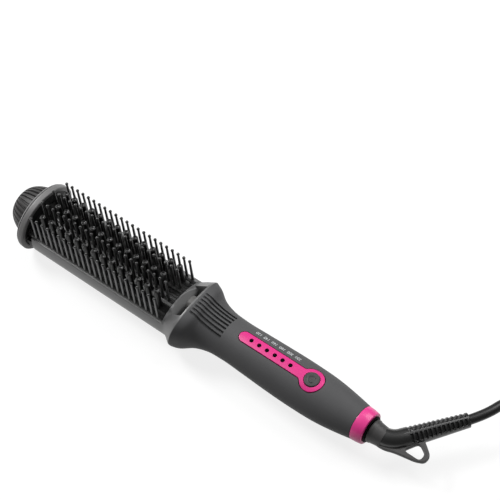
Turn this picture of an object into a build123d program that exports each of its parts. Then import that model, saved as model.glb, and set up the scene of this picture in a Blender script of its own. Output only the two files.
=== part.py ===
from build123d import *
import math
import os

# Heated hair straightening brush with a swivel cord.
# Working frame: X runs from the tip of the brush (station 0) to the cord end, Y across, Z up along the
# bristles, with the handle's centre line at y = 0, z = 0. place() moves each piece to the part's own
# frame, whose origin lies under the middle of the brush on the surface that it rests on.

# ---------------------------------------------------------------- overall
body_len = 293.7          # station of the end of the coloured ring
axis_height = 19.8        # centre line above the flat back that the brush rests on
head_rise = -0.6          # centre of the round head against the handle's centre line

# ---------------------------------------------------------------- tip cap and collar
collar_station = 25.0     # widest part of the collar, on the axis of cap and collar
tip_rise = 2.5            # height of that axis there
tip_lean = 7.5            # degrees by which cap and collar lean back
cap_len = 14.8
cap_base_r = 18.3
cap_nose_r = 4.5
cap_flute_count = 32
cap_flute_w = 1.1
cap_flute_depth = 0.9
cap_flute_first = 0.18    # shares of the cap's length where the flutes start and run out
cap_flute_last = 0.9
cap_spigot_r = 14.9
cap_spigot_len = 1.5
spigot_clearance = 0.1
cap_waist = 5.8           # foot of the dome, ahead of the collar's widest part
collar_front = 2.3        # seam to the cap, ahead of the widest part
collar_back = 2.4         # rim towards the bristles, behind the widest part
collar_front_r = 24.4
collar_r = 25.0
collar_rim_r = 23.5
collar_bore_r = 21.5
collar_web = 1.5
seam_groove = 0.5         # the cap ends this much inside the collar's edge
flat_wall = 1.4           # wall left over the flat back

# ---------------------------------------------------------------- head frame and carrier
barrel_r = 20.7
frame_wall = 1.8
fit_gap = 0.1             # clearance of a seated piece
rail_top = 5.6            # top of the side rails above the centre line
rail_gap = 4.8            # bare carrier between the front of the plate and the rails
gap_step = 0.5            # the bare carrier lies this much under the rails
face_recess = 1.6         # carrier face behind the collar's rim
carrier_neck_r = 17.5
plate_lag = 2.3           # front of the heat plate behind the collar's widest part
bed_len = 117.0           # length of the heat plate
pocket_half_w = 12.0
pocket_end_wall = 6.0

# ---------------------------------------------------------------- heat plate, pins and teeth
plate_arch_r = 32.6
plate_top = 12.2
plate_bottom = 1.0
plate_half_w = 19.2
plate_block_half_w = 17.6
slot_depth = 2.6
edge_strip_y = 15.9       # inner side of the outermost pin strips
pin_count = 23
pin_pitch = 4.8
pin_row_outer_y = 17.3
pin_row_inner_y = 5.6
pin_strip_w = 2.6
pin_len = 21.2
pin_base_r = 0.85
pin_neck_r = 0.6
pin_ball_r = 1.15
pin_ball_len = 2.0
pin_sides = 6
pin_first = 7.6           # first pin behind the front of the plate
tooth_count = 14
tooth_pitch = 7.5
tooth_r = 1.95
tooth_len = 16.2
tooth_dome = 1.5
tooth_first = 12.2        # first thick tooth behind the front of the plate
tooth_strip_w = 4.6
tooth_sides = 8

# ---------------------------------------------------------------- heater stack
heater_t = 3.6
heater_half_w = 8.0
heater_len = 46.0
heater_spacing = 4.0
insulator_t = 0.6
insulator_half_w = 10.0
spring_t = 0.5
spring_lift = 1.9
sensor_r = 1.5
sensor_len = 9.0
lead_r = 0.8
lead_y = 1.6              # leads on either side of the middle
lead_bend_r = 2.0
lead_sides = 8

# ---------------------------------------------------------------- shoulder
shoulder_start = 146.4
scoop_half_w = 17.5
scoop_floor = 3.2
scoop_side = 8.6
end_wall_t = 0.8          # level top of the end wall, ahead of its slope
end_wall_edge = 5.7       # straight lower edge of the slope, behind the heat plate
end_wall_low = 8.4        # height of that edge
crest_wall = 1.8
lead_hole_r = 4.2
nozzle_w = 9.4
nozzle_h = 5.2
nozzle_reach = 3.4
nozzle_top = 18.6
nozzle_round = 2.2
nozzle_mouth_r = 1.7
nozzle_mouth_len = 3.5
needle_r = 0.6

# ---------------------------------------------------------------- handle
seam_z = 1.2
crest_station = 154.0
crest_tilt = 0.25
ring_start = 286.0
cavity_start = 187.0
cavity_r = 12.3
cavity_step = 262.5       # the cavity narrows here
cavity_end_r = 9.9
end_wall = 3.0
# station, lean, half width, half height, rise, squareness of each cross-section
handle_stations = (
    (crest_station, crest_tilt, 24.7, 20.4, 0.2, 2.6),
    (160.0, 0.22, 22.4, 20.3, -0.5, 2.5),
    (167.5, 0.10, 18.2, 16.8, 0.7, 2.2),
    (176.5, 0.0, 15.6, 14.4, 1.1, 2.0),
    (188.0, 0.0, 14.6, 13.7, 0.9, 2.0),
    (204.0, 0.0, 14.9, 14.3, 0.6, 2.0),
    (222.0, 0.0, 15.5, 14.9, 0.2, 2.0),
    (242.0, 0.0, 15.8, 15.1, 0.0, 2.0),
    (262.0, 0.0, 15.1, 14.5, -0.1, 2.0),
    (276.0, 0.0, 13.3, 13.0, -0.1, 2.0),
    (ring_start, 0.0, 11.6, 11.5, 0.0, 2.0),
)
section_points = 40       # flat sides around the handle, the collar and the ring
groove_count = 7
groove_pitch = 2.7
groove_w = 1.3
groove_start = 161.0
groove_end = 184.8
groove_depth = 2.3

# ---------------------------------------------------------------- control strip, button, lights
strip_start = 194.2
strip_w = 7.4
strip_ring_r = 7.8
strip_proud = 0.25
strip_seat_r = 13.5       # round seat that the strip lies on
strip_gap = 0.25
button_station = 250.0
button_r = 5.1
button_gap = 0.3
button_proud = 0.5
button_flange_r = 6.2
button_flange_t = 0.9
button_travel = 0.6
button_rest_gap = 0.1     # flange under the strip with the button up
button_stem_len = 1.2
button_chamfer = 0.5
button_stem_r = 1.7
led_count = 6
led_first = 203.2
led_pitch = 6.08
led_r = 1.35
led_gap = 0.08
led_drop = 0.3
led_sides = 10
light_slot_w = 3.2

# ---------------------------------------------------------------- electronics
board_top = 5.2
board_t = 1.6
board_w = 17.0
board_start = 192.0
board_len = 69.0
board_boss_r = 3.0
boss_inset = 5.0          # boss centres from the ends of the board
boss_foot_z = -13.0
screw_r = 1.2
screw_head_r = 2.2
screw_head_t = 1.4
screw_gap = 0.1
screw_len = 5.0
switch_w = 6.0
switch_h = 3.4
plunger_r = 1.5
plunger_gap = 0.1
chip_w = 2.0
chip_t = 0.8
chip_gap = 0.2
ion_module_len = 26.0
ion_module_w = 14.0
ion_module_h = 9.0
ion_module_start = 204.0

# ---------------------------------------------------------------- end ring and swivel
ring_end_r = 10.7
ring_round = 0.8
ring_spigot_r = 9.4
bush_r = 8.0
bush_flange_r = 9.6
bush_flange_t = 1.2
bush_chamfer = 0.5
bush_start = 283.4
bush_bore_clearance = 0.05
shank_r = 5.0
shank_head_r = 6.4
shank_head_t = 1.5
axial_play = 0.3
nose_r = 3.5
nose_len = 10.0
slip_ring_r = 4.6
slip_ring_w = 2.4
slip_ring_pitch = 4.2
brush_t = 0.8
brush_w = 1.6
brush_gap = 0.1
block_len = 9.0
block_w = 8.0
block_h = 3.0

# ---------------------------------------------------------------- cord gland
neck_r = 7.9
neck_end_r = 6.9
neck_len = 9.0
elbow_station = 308.6     # where the gland's axis turns
elbow_turn = 54.0         # degrees towards +Y
elbow_r = 6.5
elbow_bend_r = 9.5
relief_len = 49.5         # from the turn to the tip of the strain relief
relief_start = 8.5
relief_r = 6.6
relief_tip_r = 4.7
relief_core = 1.5         # depth of the slots between the ribs
rib_count = 13
rib_pitch = 2.85
rib_slot = 1.3
rib_first = 10.5
relief_sides = 12
loop_t = 2.6
loop_round = 2.5
loop_hole_round = 1.4
# corners of the hanging loop and of its hole, measured from the turn
loop_corners = ((-6.0, -5.5), (6.5, -3.5), (19.3, -2.0), (24.4, 0.9), (24.9, 5.6), (18.9, 10.6),
                (12.0, 15.0), (0.0, 2.0))
loop_hole_corners = ((9.8, -0.2), (21.2, -0.2), (21.2, 4.8), (14.8, 8.6))

# ---------------------------------------------------------------- cord and plug
cord_r = 3.2
# corners of the cord's way from the strain relief to the coil, as station and Y, and how far it has sunk
cord_corners = ((344.3, 50.3, 0.0), (348.2, 64.2, 1.0), (358.25, 76.0, 5.2), (372.3, 82.5, 11.2))
cord_floor_stations = (387.8, 400.8)
cord_clearance = 0.25     # keeps the fixed cord clear of the turning gland
cord_rest_gap = 0.05
coil_mean_r = 35.2
coil_turns_wide = 4
coil_layers = 2
coil_margin = 0.04        # the ring lies this much outside its turns
coil_lead_in = 25.0       # straight stretch that runs onto the coil
coil_lead_out = 33.0      # stretch from the coil to the plug
coil_exit_level = 9.0     # part of it that is still level
plug_neck_r = 4.6
plug_neck_len = 12.0
plug_w = 26.0
plug_h = 13.7
plug_len = 22.0
plug_round = 4.0
plug_pin_r = 2.0
plug_pin_len = 19.0
plug_pin_spacing = 18.6

os.makedirs("parts", exist_ok=True)
floor_z = -axis_height
plate_start = collar_station + plate_lag
plate_end = plate_start + bed_len
rail_start = plate_start + rail_gap
inner_r = barrel_r - frame_wall
arch_centre = plate_top - plate_arch_r
brush_end = body_len + bush_flange_t
lean_angle = math.radians(tip_lean)
nose_edge_r = cap_nose_r * math.cos(math.pi / cap_flute_count)
tip_station = (collar_station - (cap_waist + cap_len) * math.cos(lean_angle)
               - nose_edge_r * math.sin(lean_angle))
mid_station = (tip_station + brush_end) / 2
big = 400.0

done = []


def place(shape):
    """Move a piece from the working frame to the part's own frame."""
    return Pos(-mid_station, 0, axis_height) * shape


def save(name, *solids):
    """Write one node, as one solid or as a group of separate solids."""
    placed = [place(s) for s in solids]
    shape = placed[0] if len(placed) == 1 else Compound(children=placed)
    export_step(shape, os.path.join("parts", name + ".step"))
    done.append(name)


def cylinder_x(start, end, radius, y=0.0, z=0.0):
    """Cylinder along X between two stations."""
    plane = Plane(origin=(start, y, z), x_dir=(0, 1, 0), z_dir=(1, 0, 0))
    return extrude(plane * Circle(radius), end - start)


def cylinder_z(x, y, low, high, radius):
    """Upright cylinder between two heights."""
    return Pos(x, y, low) * extrude(Circle(radius), high - low)


def block(x0, x1, y0, y1, z0, z1):
    """Box given by its faces."""
    return Pos((x0 + x1) / 2, (y0 + y1) / 2, (z0 + z1) / 2) * Box(x1 - x0, y1 - y0, z1 - z0)


def above(z):
    """Everything above a height."""
    return block(-50, big, -100, 100, z, 100)


def below(z):
    """Everything below a height."""
    return block(-50, big, -100, 100, -100, z)


def drawn_x(sketch, start, end):
    """Extrude a (y, z) sketch along X between two stations."""
    plane = Plane(origin=(start, 0, 0), x_dir=(0, 1, 0), z_dir=(1, 0, 0))
    return extrude(plane * sketch, end - start)


def drawn_y(sketch, y0, y1):
    """Extrude an (x, z) sketch along Y."""
    plane = Plane(origin=(0, y1, 0), x_dir=(1, 0, 0), z_dir=(0, -1, 0))
    return extrude(plane * sketch, y1 - y0)


def faceted(levels, sides):
    """Solid with flat sides through many-sided outlines, each given as (height, radius)."""
    rings = []
    for z, radius in levels:
        angles = [2 * math.pi * (k + 0.5) / sides for k in range(sides)]
        rings.append([Vector(radius * math.cos(a), radius * math.sin(a), z) for a in angles])
    faces = [Face(Wire.make_polygon(rings[0])), Face(Wire.make_polygon(rings[-1]))]
    for low, high in zip(rings, rings[1:]):
        for k in range(sides):
            n = (k + 1) % sides
            faces.append(Face(Wire.make_polygon([low[k], low[n], high[n], high[k]])))
    return Solid(Shell(faces))


def arch_z(y):
    """Height of the arched plate at y."""
    return arch_centre + math.sqrt(plate_arch_r ** 2 - y ** 2)


# ================================================================ tip cap
# cap and collar are drawn along an axis of their own, measured from the collar's widest part
tip_frame = Pos(collar_station, 0, tip_rise) * Rot(0, tip_lean, 0)


def cap_point(share, inset=0.0):
    """Place on the cap's outline, as (along the axis, radius), at a share of its length from the seam."""
    radius = cap_base_r * (1 - share ** 1.1) ** 0.27
    return (-cap_waist - share * cap_len, radius - inset)


def skirt_point(share):
    """Place on the skirt that spreads from the foot of the dome to the seam."""
    spread = collar_front_r - seam_groove - cap_base_r
    radius = cap_base_r + spread * math.sin(share * math.pi / 2)
    return (-cap_waist + share * (cap_waist - collar_front), radius)


nose = (-cap_waist - cap_len, cap_nose_r)
cap_levels = [nose] + [cap_point(share) for share in (0.97, 0.9, 0.78, 0.6, 0.4, 0.2, 0.0)]
cap_levels += [skirt_point(share) for share in (0.14, 0.4, 1.0)]
cap = Rot(0, 90, 0) * faceted(cap_levels, cap_flute_count)
cap += cylinder_x(-collar_front, -collar_front + cap_spigot_len - fit_gap, cap_spigot_r)
flute_shares = [cap_flute_first + (cap_flute_last - cap_flute_first) * k / 4 for k in range(5)]
flute_floor = [cap_point(share, cap_flute_depth) for share in flute_shares[1:-1]]
flute_ends = (cap_point(flute_shares[0], -0.3), cap_point(flute_shares[-1], -0.3))
flute_face = make_face(
    Polyline(flute_ends[0], *flute_floor, flute_ends[1], (-cap_waist - cap_len, cap_base_r + 5),
             (flute_ends[0][0], cap_base_r + 5), close=True))
flute = drawn_y(flute_face, -cap_flute_w / 2, cap_flute_w / 2)
for i in range(cap_flute_count):
    cap -= Rot(i * 360 / cap_flute_count, 0, 0) * flute
save("tip_cap", tip_frame * cap & above(floor_z))

# ================================================================ collar
web_end = -collar_front + collar_web
collar_levels = [(-collar_front, collar_front_r), (0, collar_r),
                 (0.65 * collar_back, collar_r - 0.35 * (collar_r - collar_rim_r)), (collar_back, collar_rim_r)]
collar = tip_frame * Rot(0, 90, 0) * faceted(collar_levels, section_points) & above(floor_z)
collar -= tip_frame * cylinder_x(web_end, collar_back + 1, collar_bore_r) & above(floor_z + flat_wall)
collar -= tip_frame * cylinder_x(-collar_front - 1, web_end + 1, cap_spigot_r + spigot_clearance)
save("tip_collar", collar)

# ================================================================ carrier of the bristle bed
disc = tip_frame * cylinder_x(web_end, collar_back - face_recess, collar_bore_r - fit_gap)
disc &= above(floor_z + flat_wall + fit_gap)
neck_floor = floor_z + frame_wall + fit_gap
neck = cylinder_x(collar_station - carrier_neck_r / 2, plate_start + 1, carrier_neck_r, z=head_rise)
neck &= above(neck_floor) & below(plate_bottom) & (tip_frame * block(web_end, 60, -60, 60, -60, 60))
step_piece = cylinder_x(plate_start, rail_start - fit_gap, barrel_r - gap_step, z=head_rise)
step_piece &= above(floor_z + gap_step) & below(plate_bottom)
barrel = cylinder_x(rail_start - 1, plate_end, inner_r - fit_gap, z=head_rise)
barrel &= above(neck_floor) & below(plate_bottom)
carrier = disc + neck + step_piece + barrel
pocket_floor = plate_bottom - heater_t - insulator_t - spring_t - spring_lift
pocket_start = plate_start + pocket_end_wall
pocket_end = plate_end - pocket_end_wall
carrier -= block(pocket_start, pocket_end, -pocket_half_w, pocket_half_w, pocket_floor, plate_bottom + 1)
lead_z = pocket_floor + lead_hole_r
carrier -= cylinder_x(pocket_end - 1, plate_end + 1, lead_hole_r - 1, z=lead_z)
save("bed_carrier", carrier)

# ================================================================ heat plate with its five slots
arch = Circle(plate_arch_r).move(Location((0, arch_centre)))
plate_cap = arch & Rectangle(2 * edge_strip_y - 2 * fit_gap, 20).move(Location((0, rail_top + 10 - 0.1)))
plate_block = Rectangle(2 * plate_block_half_w, rail_top - plate_bottom).move(
    Location((0, (plate_bottom + rail_top) / 2)))
tooth_y = (pin_row_outer_y + pin_row_inner_y) / 2
inner_strips = [(-tooth_y, tooth_strip_w), (-pin_row_inner_y, pin_strip_w), (0.0, tooth_strip_w),
                (pin_row_inner_y, pin_strip_w), (tooth_y, tooth_strip_w)]


def strip_base(y, width):
    """Height of the floor of a strip's slot."""
    return arch_z(abs(y) + width / 2) - slot_depth


def strip_section(y, width):
    """Section of a strip that fills its slot up to the arch."""
    left, right, base = y - width / 2, y + width / 2, strip_base(y, width)
    return make_face(Polyline((left, base), (right, base), (right, arch_z(right)), (left, arch_z(left)),
                              close=True))


plate_section = plate_cap + plate_block
for y, width in inner_strips:
    plate_section -= Rectangle(width + 2 * fit_gap, 20).move(Location((y, strip_base(y, width) + 10)))
save("heat_plate", drawn_x(plate_section, plate_start, plate_end))

# ================================================================ pin strips and tooth strips
edge_section = make_face(
    Polyline((edge_strip_y, rail_top), (plate_half_w, rail_top), (plate_half_w, arch_z(plate_half_w)),
             (edge_strip_y, arch_z(edge_strip_y)), close=True))


def pin_row(section, y, middle):
    """Strip with a row of tapered pins that end in balls."""
    root = arch_z(abs(y) + pin_strip_w / 2) - 0.4
    top = arch_z(abs(y)) + pin_len
    levels = [(root, pin_base_r), (top - pin_ball_len, pin_neck_r), (top - 0.55 * pin_ball_len, pin_ball_r),
              (top, 0.5 * pin_ball_r)]
    one = faceted(levels, pin_sides)
    pins = [Pos(plate_start + pin_first + i * pin_pitch, middle, 0) * one for i in range(pin_count)]
    return drawn_x(section, plate_start, plate_end).fuse(*pins)


save("pin_strip_1", pin_row(mirror(edge_section, Plane.YZ), pin_row_outer_y, -pin_row_outer_y))
save("pin_strip_2", pin_row(strip_section(-pin_row_inner_y, pin_strip_w), pin_row_inner_y, -pin_row_inner_y))
save("pin_strip_3", pin_row(strip_section(pin_row_inner_y, pin_strip_w), pin_row_inner_y, pin_row_inner_y))
save("pin_strip_4", pin_row(edge_section, pin_row_outer_y, pin_row_outer_y))


def tooth_row(y, count, first):
    """Strip with a row of thick round-topped teeth."""
    root = arch_z(abs(y) + tooth_strip_w / 2) - 0.4
    top = arch_z(abs(y)) + tooth_len
    one = faceted([(root, tooth_r), (top - tooth_dome, tooth_r), (top, 0.5 * tooth_r)], tooth_sides)
    teeth = [Pos(plate_start + first + i * tooth_pitch, y, 0) * one for i in range(count)]
    return drawn_x(strip_section(y, tooth_strip_w), plate_start, plate_end).fuse(*teeth)


# the middle row has one tooth less and stands half a pitch behind its neighbours
middle_first = tooth_first + tooth_pitch / 2
save("tooth_strip_1", tooth_row(-tooth_y, tooth_count, tooth_first))
save("tooth_strip_2", tooth_row(0.0, tooth_count - 1, middle_first))
save("tooth_strip_3", tooth_row(tooth_y, tooth_count, tooth_first))

# ================================================================ heater stack in the pocket
heater_low = plate_bottom - heater_t
bed_middle = (plate_start + plate_end) / 2
heaters = []
for side in (-1, 1):
    centre = bed_middle + side * (heater_len + heater_spacing) / 2
    heaters.append(block(centre - heater_len / 2, centre + heater_len / 2,
                         -heater_half_w, heater_half_w, heater_low, plate_bottom))
save("ptc_heaters", *heaters)
insulator_low = heater_low - insulator_t
heaters_half_len = heater_len + heater_spacing / 2
insulator_half_len = heaters_half_len + 1.0
save("heater_insulator", block(bed_middle - insulator_half_len, bed_middle + insulator_half_len,
                               -insulator_half_w, insulator_half_w, insulator_low, heater_low))
spring_half = insulator_half_len - 4.0
wave = make_face(
    Polyline((-spring_half, pocket_floor), (-spring_half / 2, insulator_low - spring_t),
             (0, pocket_floor), (spring_half / 2, insulator_low - spring_t), (spring_half, pocket_floor),
             (spring_half, pocket_floor + spring_t), (spring_half / 2, insulator_low),
             (0, pocket_floor + spring_t), (-spring_half / 2, insulator_low),
             (-spring_half, pocket_floor + spring_t), close=True))
save("heater_spring", Pos(bed_middle, 0, 0) * drawn_y(wave, -heater_half_w / 2, heater_half_w / 2))
sensor_y = heater_half_w + sensor_r + fit_gap
sensor_z = heater_low + sensor_r
save("thermal_fuse", cylinder_x(bed_middle - sensor_len / 2, bed_middle + sensor_len / 2, sensor_r,
                                y=-sensor_y, z=sensor_z))
save("thermistor", cylinder_x(bed_middle - sensor_len / 3, bed_middle + sensor_len / 3, sensor_r,
                              y=sensor_y, z=sensor_z))


# ================================================================ handle outline
def handle_section(row, grow=0.0):
    """Cross-section face of the handle, grown outwards by grow."""
    station, lean, half_w, half_h, rise, power = row
    plane = Plane(origin=(station, 0, rise), x_dir=(0, 1, 0), z_dir=(1, 0, -lean))
    a = half_w + grow
    b = (half_h + grow) * math.sqrt(1 + lean ** 2)
    points = []
    for i in range(section_points):
        c = math.cos(2 * math.pi * (i + 0.5) / section_points)
        s = math.sin(2 * math.pi * (i + 0.5) / section_points)
        points.append((a * math.copysign(abs(c) ** (2 / power), c),
                       b * math.copysign(abs(s) ** (2 / power), s)))
    return plane * make_face(Polyline(*points, close=True))


def section_at(station):
    """Handle section values between two named stations."""
    for low, high in zip(handle_stations, handle_stations[1:]):
        if low[0] <= station <= high[0]:
            share = (station - low[0]) / (high[0] - low[0])
            return tuple(a + (b - a) * share for a, b in zip(low, high))
    return handle_stations[-1]


def handle_top(station, y):
    """Height of the handle's upper surface."""
    row = section_at(station)
    share = min(abs(y) / row[2], 1.0)
    return row[4] + row[3] * (1 - share ** row[5]) ** (1 / row[5])


def handle_body(grow=0.0, rows=handle_stations):
    """Solid handle form through the given sections."""
    return loft([handle_section(row, grow) for row in rows], ruled=True)


crest_plane = Plane(origin=(crest_station, 0, handle_stations[0][4]), x_dir=(0, 1, 0),
                    z_dir=(1, 0, -crest_tilt))

# ================================================================ head frame: rails, end wall, shoulder
frame_section = Circle(barrel_r).move(Location((0, head_rise)))
frame_section -= Circle(inner_r).move(Location((0, head_rise))) & Rectangle(80, 80).move(
    Location((0, floor_z + frame_wall + 40)))
frame_section &= Rectangle(80, rail_top - floor_z).move(Location((0, (rail_top + floor_z) / 2)))
frame = drawn_x(frame_section, rail_start, plate_end)
solid_section = Circle(barrel_r).move(Location((0, head_rise)))
solid_section &= Rectangle(80, rail_top - floor_z).move(Location((0, (rail_top + floor_z) / 2)))
frame += drawn_x(solid_section, plate_end, shoulder_start)
round_row = (shoulder_start, 0.0, barrel_r, barrel_r, head_rise, 2.0)
shoulder = loft([handle_section(round_row), handle_section(handle_stations[0])], ruled=True)
wall_slope = make_face(
    Polyline((plate_end, scoop_floor - 0.5), (plate_end, plate_top + 1), (plate_end + end_wall_t, plate_top + 1),
             (plate_end + end_wall_t, plate_top), (plate_end + end_wall_edge, end_wall_low),
             (plate_end + end_wall_edge, scoop_floor - 0.5), close=True))
end_wall_piece = drawn_y(wall_slope, -plate_half_w, plate_half_w)
end_wall_piece &= drawn_x(arch, plate_end, shoulder_start + 10)
crest_x = crest_station + crest_tilt * (100 - handle_stations[0][4])
crest_low = crest_station - crest_tilt * (40 + handle_stations[0][4])
before_crest = drawn_y(
    make_face(Polyline((plate_end, -40), (crest_low - crest_wall, -40), (crest_x - crest_wall, 100),
                       (plate_end, 100), close=True)), -60, 60)
scoop_arc = ThreePointArc((-scoop_half_w, scoop_side), (0, scoop_floor), (scoop_half_w, scoop_side))
scoop_face = make_face([scoop_arc, Line((scoop_half_w, scoop_side), (scoop_half_w, 60)),
                        Line((scoop_half_w, 60), (-scoop_half_w, 60)),
                        Line((-scoop_half_w, 60), (-scoop_half_w, scoop_side))])
scoop = drawn_x(scoop_face, plate_end, 175) & before_crest
shoulder = (shoulder & above(floor_z)) - scoop
frame = frame + shoulder + end_wall_piece
frame -= cylinder_x(plate_end - 1, 170, lead_hole_r - 1, z=lead_z)
nozzle_y = nozzle_w / 2
nozzle_back = crest_station + crest_tilt * nozzle_top
nozzle_front = nozzle_back - crest_wall - nozzle_reach
nozzle_hole = block(nozzle_front, 170, -nozzle_y - fit_gap, nozzle_y + fit_gap,
                    nozzle_top - nozzle_h - fit_gap, nozzle_top + fit_gap)
frame -= nozzle_hole
save("head_frame", frame)

nozzle = block(nozzle_front, nozzle_back + 4, -nozzle_y, nozzle_y, nozzle_top - nozzle_h, nozzle_top)
nozzle = fillet(nozzle.edges().filter_by(Axis.X).group_by(Axis.Z)[-1], nozzle_round)
nozzle = chamfer(nozzle.faces().sort_by(Axis.X)[0].edges().sort_by(Axis.Z)[-1], nozzle_round / 2)
needle_z = nozzle_top - nozzle_h / 2
nozzle -= cylinder_x(nozzle_front - 1, nozzle_front + nozzle_mouth_len, nozzle_mouth_r, z=needle_z)
nozzle -= cylinder_x(nozzle_front, nozzle_back + 5, needle_r, z=needle_z)
save("ion_nozzle", nozzle)
save("ion_needle", cylinder_x(nozzle_front + 1.0, nozzle_back + 6, needle_r, z=needle_z))

# ================================================================ handle shells
outer = handle_body() & above(floor_z)
outer -= cylinder_x(cavity_start, cavity_step, cavity_r)
outer -= cylinder_x(cavity_step - 1, ring_start - end_wall, cavity_end_r)
outer -= cylinder_x(ring_start - end_wall - 1, ring_start + 1, ring_spigot_r + fit_gap)
outer -= cylinder_x(crest_station - 10, cavity_start + 1, lead_hole_r, z=lead_z)
outer -= nozzle_hole
strip_rows = [section_at(185.0)] + [r for r in handle_stations if 186 < r[0] < 270] + [section_at(270.0)]
strip_rows = [(r[0], 0.0, r[2], r[3], r[4], 2.0) for r in strip_rows]
strip_seat = cylinder_x(cavity_start - 5, cavity_step + 10, strip_seat_r)
strip_skin = handle_body(strip_proud, strip_rows)


def keyhole(grow):
    """Outline of the control strip: a rounded bar that ends in a ring round the button."""
    half = strip_w / 2 + grow
    bar_len = button_station - strip_start - strip_w / 2
    bar = Rectangle(bar_len, 2 * half).move(Location((strip_start + strip_w / 2 + bar_len / 2, 0)))
    nose = Circle(half).move(Location((strip_start + strip_w / 2, 0)))
    ring = Circle(strip_ring_r + grow).move(Location((button_station, 0)))
    return bar + nose + ring


keyhole_cut = extrude(Pos(0, 0, 5) * keyhole(strip_gap), 20) - strip_seat
top_shell = (outer & above(seam_z)) - keyhole_cut
for i in range(groove_count):
    gy = (i - (groove_count - 1) / 2) * groove_pitch
    z_start = handle_top(groove_start, gy)
    z_end = handle_top(groove_end, gy)
    groove = make_face(Polyline((groove_start, z_start + 0.3), (groove_end, z_end - groove_depth),
                                (groove_end, z_end + 3), (groove_start, z_start + 6), close=True))
    top_shell -= drawn_y(groove, gy - groove_w / 2, gy + groove_w / 2)
led_stations = [led_first + i * led_pitch for i in range(led_count)]
button_top = handle_top(button_station, 0) + button_proud
# the flange stays under the round seat, also at its sides
flange_top = math.sqrt(strip_seat_r ** 2 - button_flange_r ** 2) - button_rest_gap
flange_low = flange_top - button_flange_t
top_shell -= cylinder_z(button_station, 0, seam_z, 30, button_flange_r + button_gap)
led_last = led_stations[-1]
light_slot_half_w = light_slot_w / 2
top_shell -= block(led_first - light_slot_half_w, led_last + light_slot_half_w,
                   -light_slot_half_w, light_slot_half_w, seam_z + 5, 30)
save("handle_top_shell", top_shell)
bottom_shell = outer & below(seam_z)
board_low = board_top - board_t
boss_stations = (board_start + boss_inset, board_start + board_len - boss_inset)
for x in boss_stations:
    bottom_shell += cylinder_z(x, 0, boss_foot_z, board_low, board_boss_r)
    bottom_shell -= cylinder_z(x, 0, board_low - screw_len - 1, board_low + 1, screw_r + screw_gap / 2)
head_start = bush_start - axial_play - shank_head_t
block_station = head_start - axial_play - block_len
block_low = -slip_ring_r - brush_gap - brush_t - block_h
bottom_shell += block(block_station, block_station + block_len, -block_w / 2, block_w / 2,
                      -10.5, block_low)
save("handle_bottom_shell", bottom_shell)

# ================================================================ control strip, lights, button
strip_piece = (extrude(Pos(0, 0, 5) * keyhole(0.0), 20) & strip_skin) - strip_seat
strip_piece -= cylinder_z(button_station, 0, 0, 30, button_r + button_gap)
for x in led_stations:
    strip_piece -= cylinder_z(x, 0, 0, 30, led_r + led_gap)
save("control_strip", strip_piece)
chip_top = board_top + chip_t
lenses = []
for x in led_stations:
    lens_top = handle_top(x, 0) + strip_proud - led_drop
    lenses.append(Pos(x, 0, 0) * faceted([(chip_top + chip_gap, led_r), (lens_top, led_r)], led_sides))
save("led_lenses", *lenses)
save("led_chips", *[block(x - chip_w / 2, x + chip_w / 2, -chip_w / 2, chip_w / 2, board_top, chip_top)
                    for x in led_stations])
plunger_top = flange_low - button_stem_len
button_place = Pos(button_station, 0, 0)
button = button_place * faceted([(flange_top, button_r), (button_top - button_chamfer, button_r),
                                 (button_top, button_r - button_chamfer)], section_points)
button += button_place * faceted([(flange_low, button_flange_r), (flange_top, button_flange_r)], section_points)
button += button_place * faceted([(plunger_top, button_stem_r), (flange_low, button_stem_r)], relief_sides)
save("power_button", button)
switch_top = board_top + switch_h
save("switch_plunger", cylinder_z(button_station, 0, switch_top - 1.0, plunger_top, plunger_r))
switch = block(button_station - switch_w / 2, button_station + switch_w / 2,
               -switch_w / 2, switch_w / 2, board_top, switch_top)
switch -= cylinder_z(button_station, 0, switch_top - 1.0 - button_travel - 0.2, switch_top + 1,
                     plunger_r + plunger_gap)
save("tact_switch", switch)

# ================================================================ board, ion module, screws
board = block(board_start, board_start + board_len, -board_w / 2, board_w / 2, board_low, board_top)
for x in boss_stations:
    board -= cylinder_z(x, 0, board_low - 1, board_top + 1, screw_r + screw_gap / 2)
save("control_board", board)
save("board_screws", *[
    Pos(x, 0, 0) * faceted([(board_low - screw_len, screw_r), (board_top, screw_r)], relief_sides)
    + Pos(x, 0, 0) * faceted([(board_top, screw_head_r), (board_top + screw_head_t, screw_head_r)],
                             relief_sides)
    for x in boss_stations])
save("ion_module", block(ion_module_start, ion_module_start + ion_module_len,
                         -ion_module_w / 2, ion_module_w / 2, board_low - ion_module_h, board_low))
lead_start = bed_middle + heaters_half_len
lead_rise_station = board_start + lead_r + fit_gap
leads = []
for y in (-lead_y, lead_y):
    lead_path = FilletPolyline((lead_start, y, lead_z), (lead_rise_station, y, lead_z),
                               (lead_rise_station, y, board_low), radius=lead_bend_r)
    lead_end = Plane(origin=(lead_start, y, lead_z), x_dir=(0, 1, 0), z_dir=(1, 0, 0))
    leads.append(sweep(lead_end * RegularPolygon(lead_r, lead_sides), lead_path))
save("heater_leads", *leads)

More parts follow.
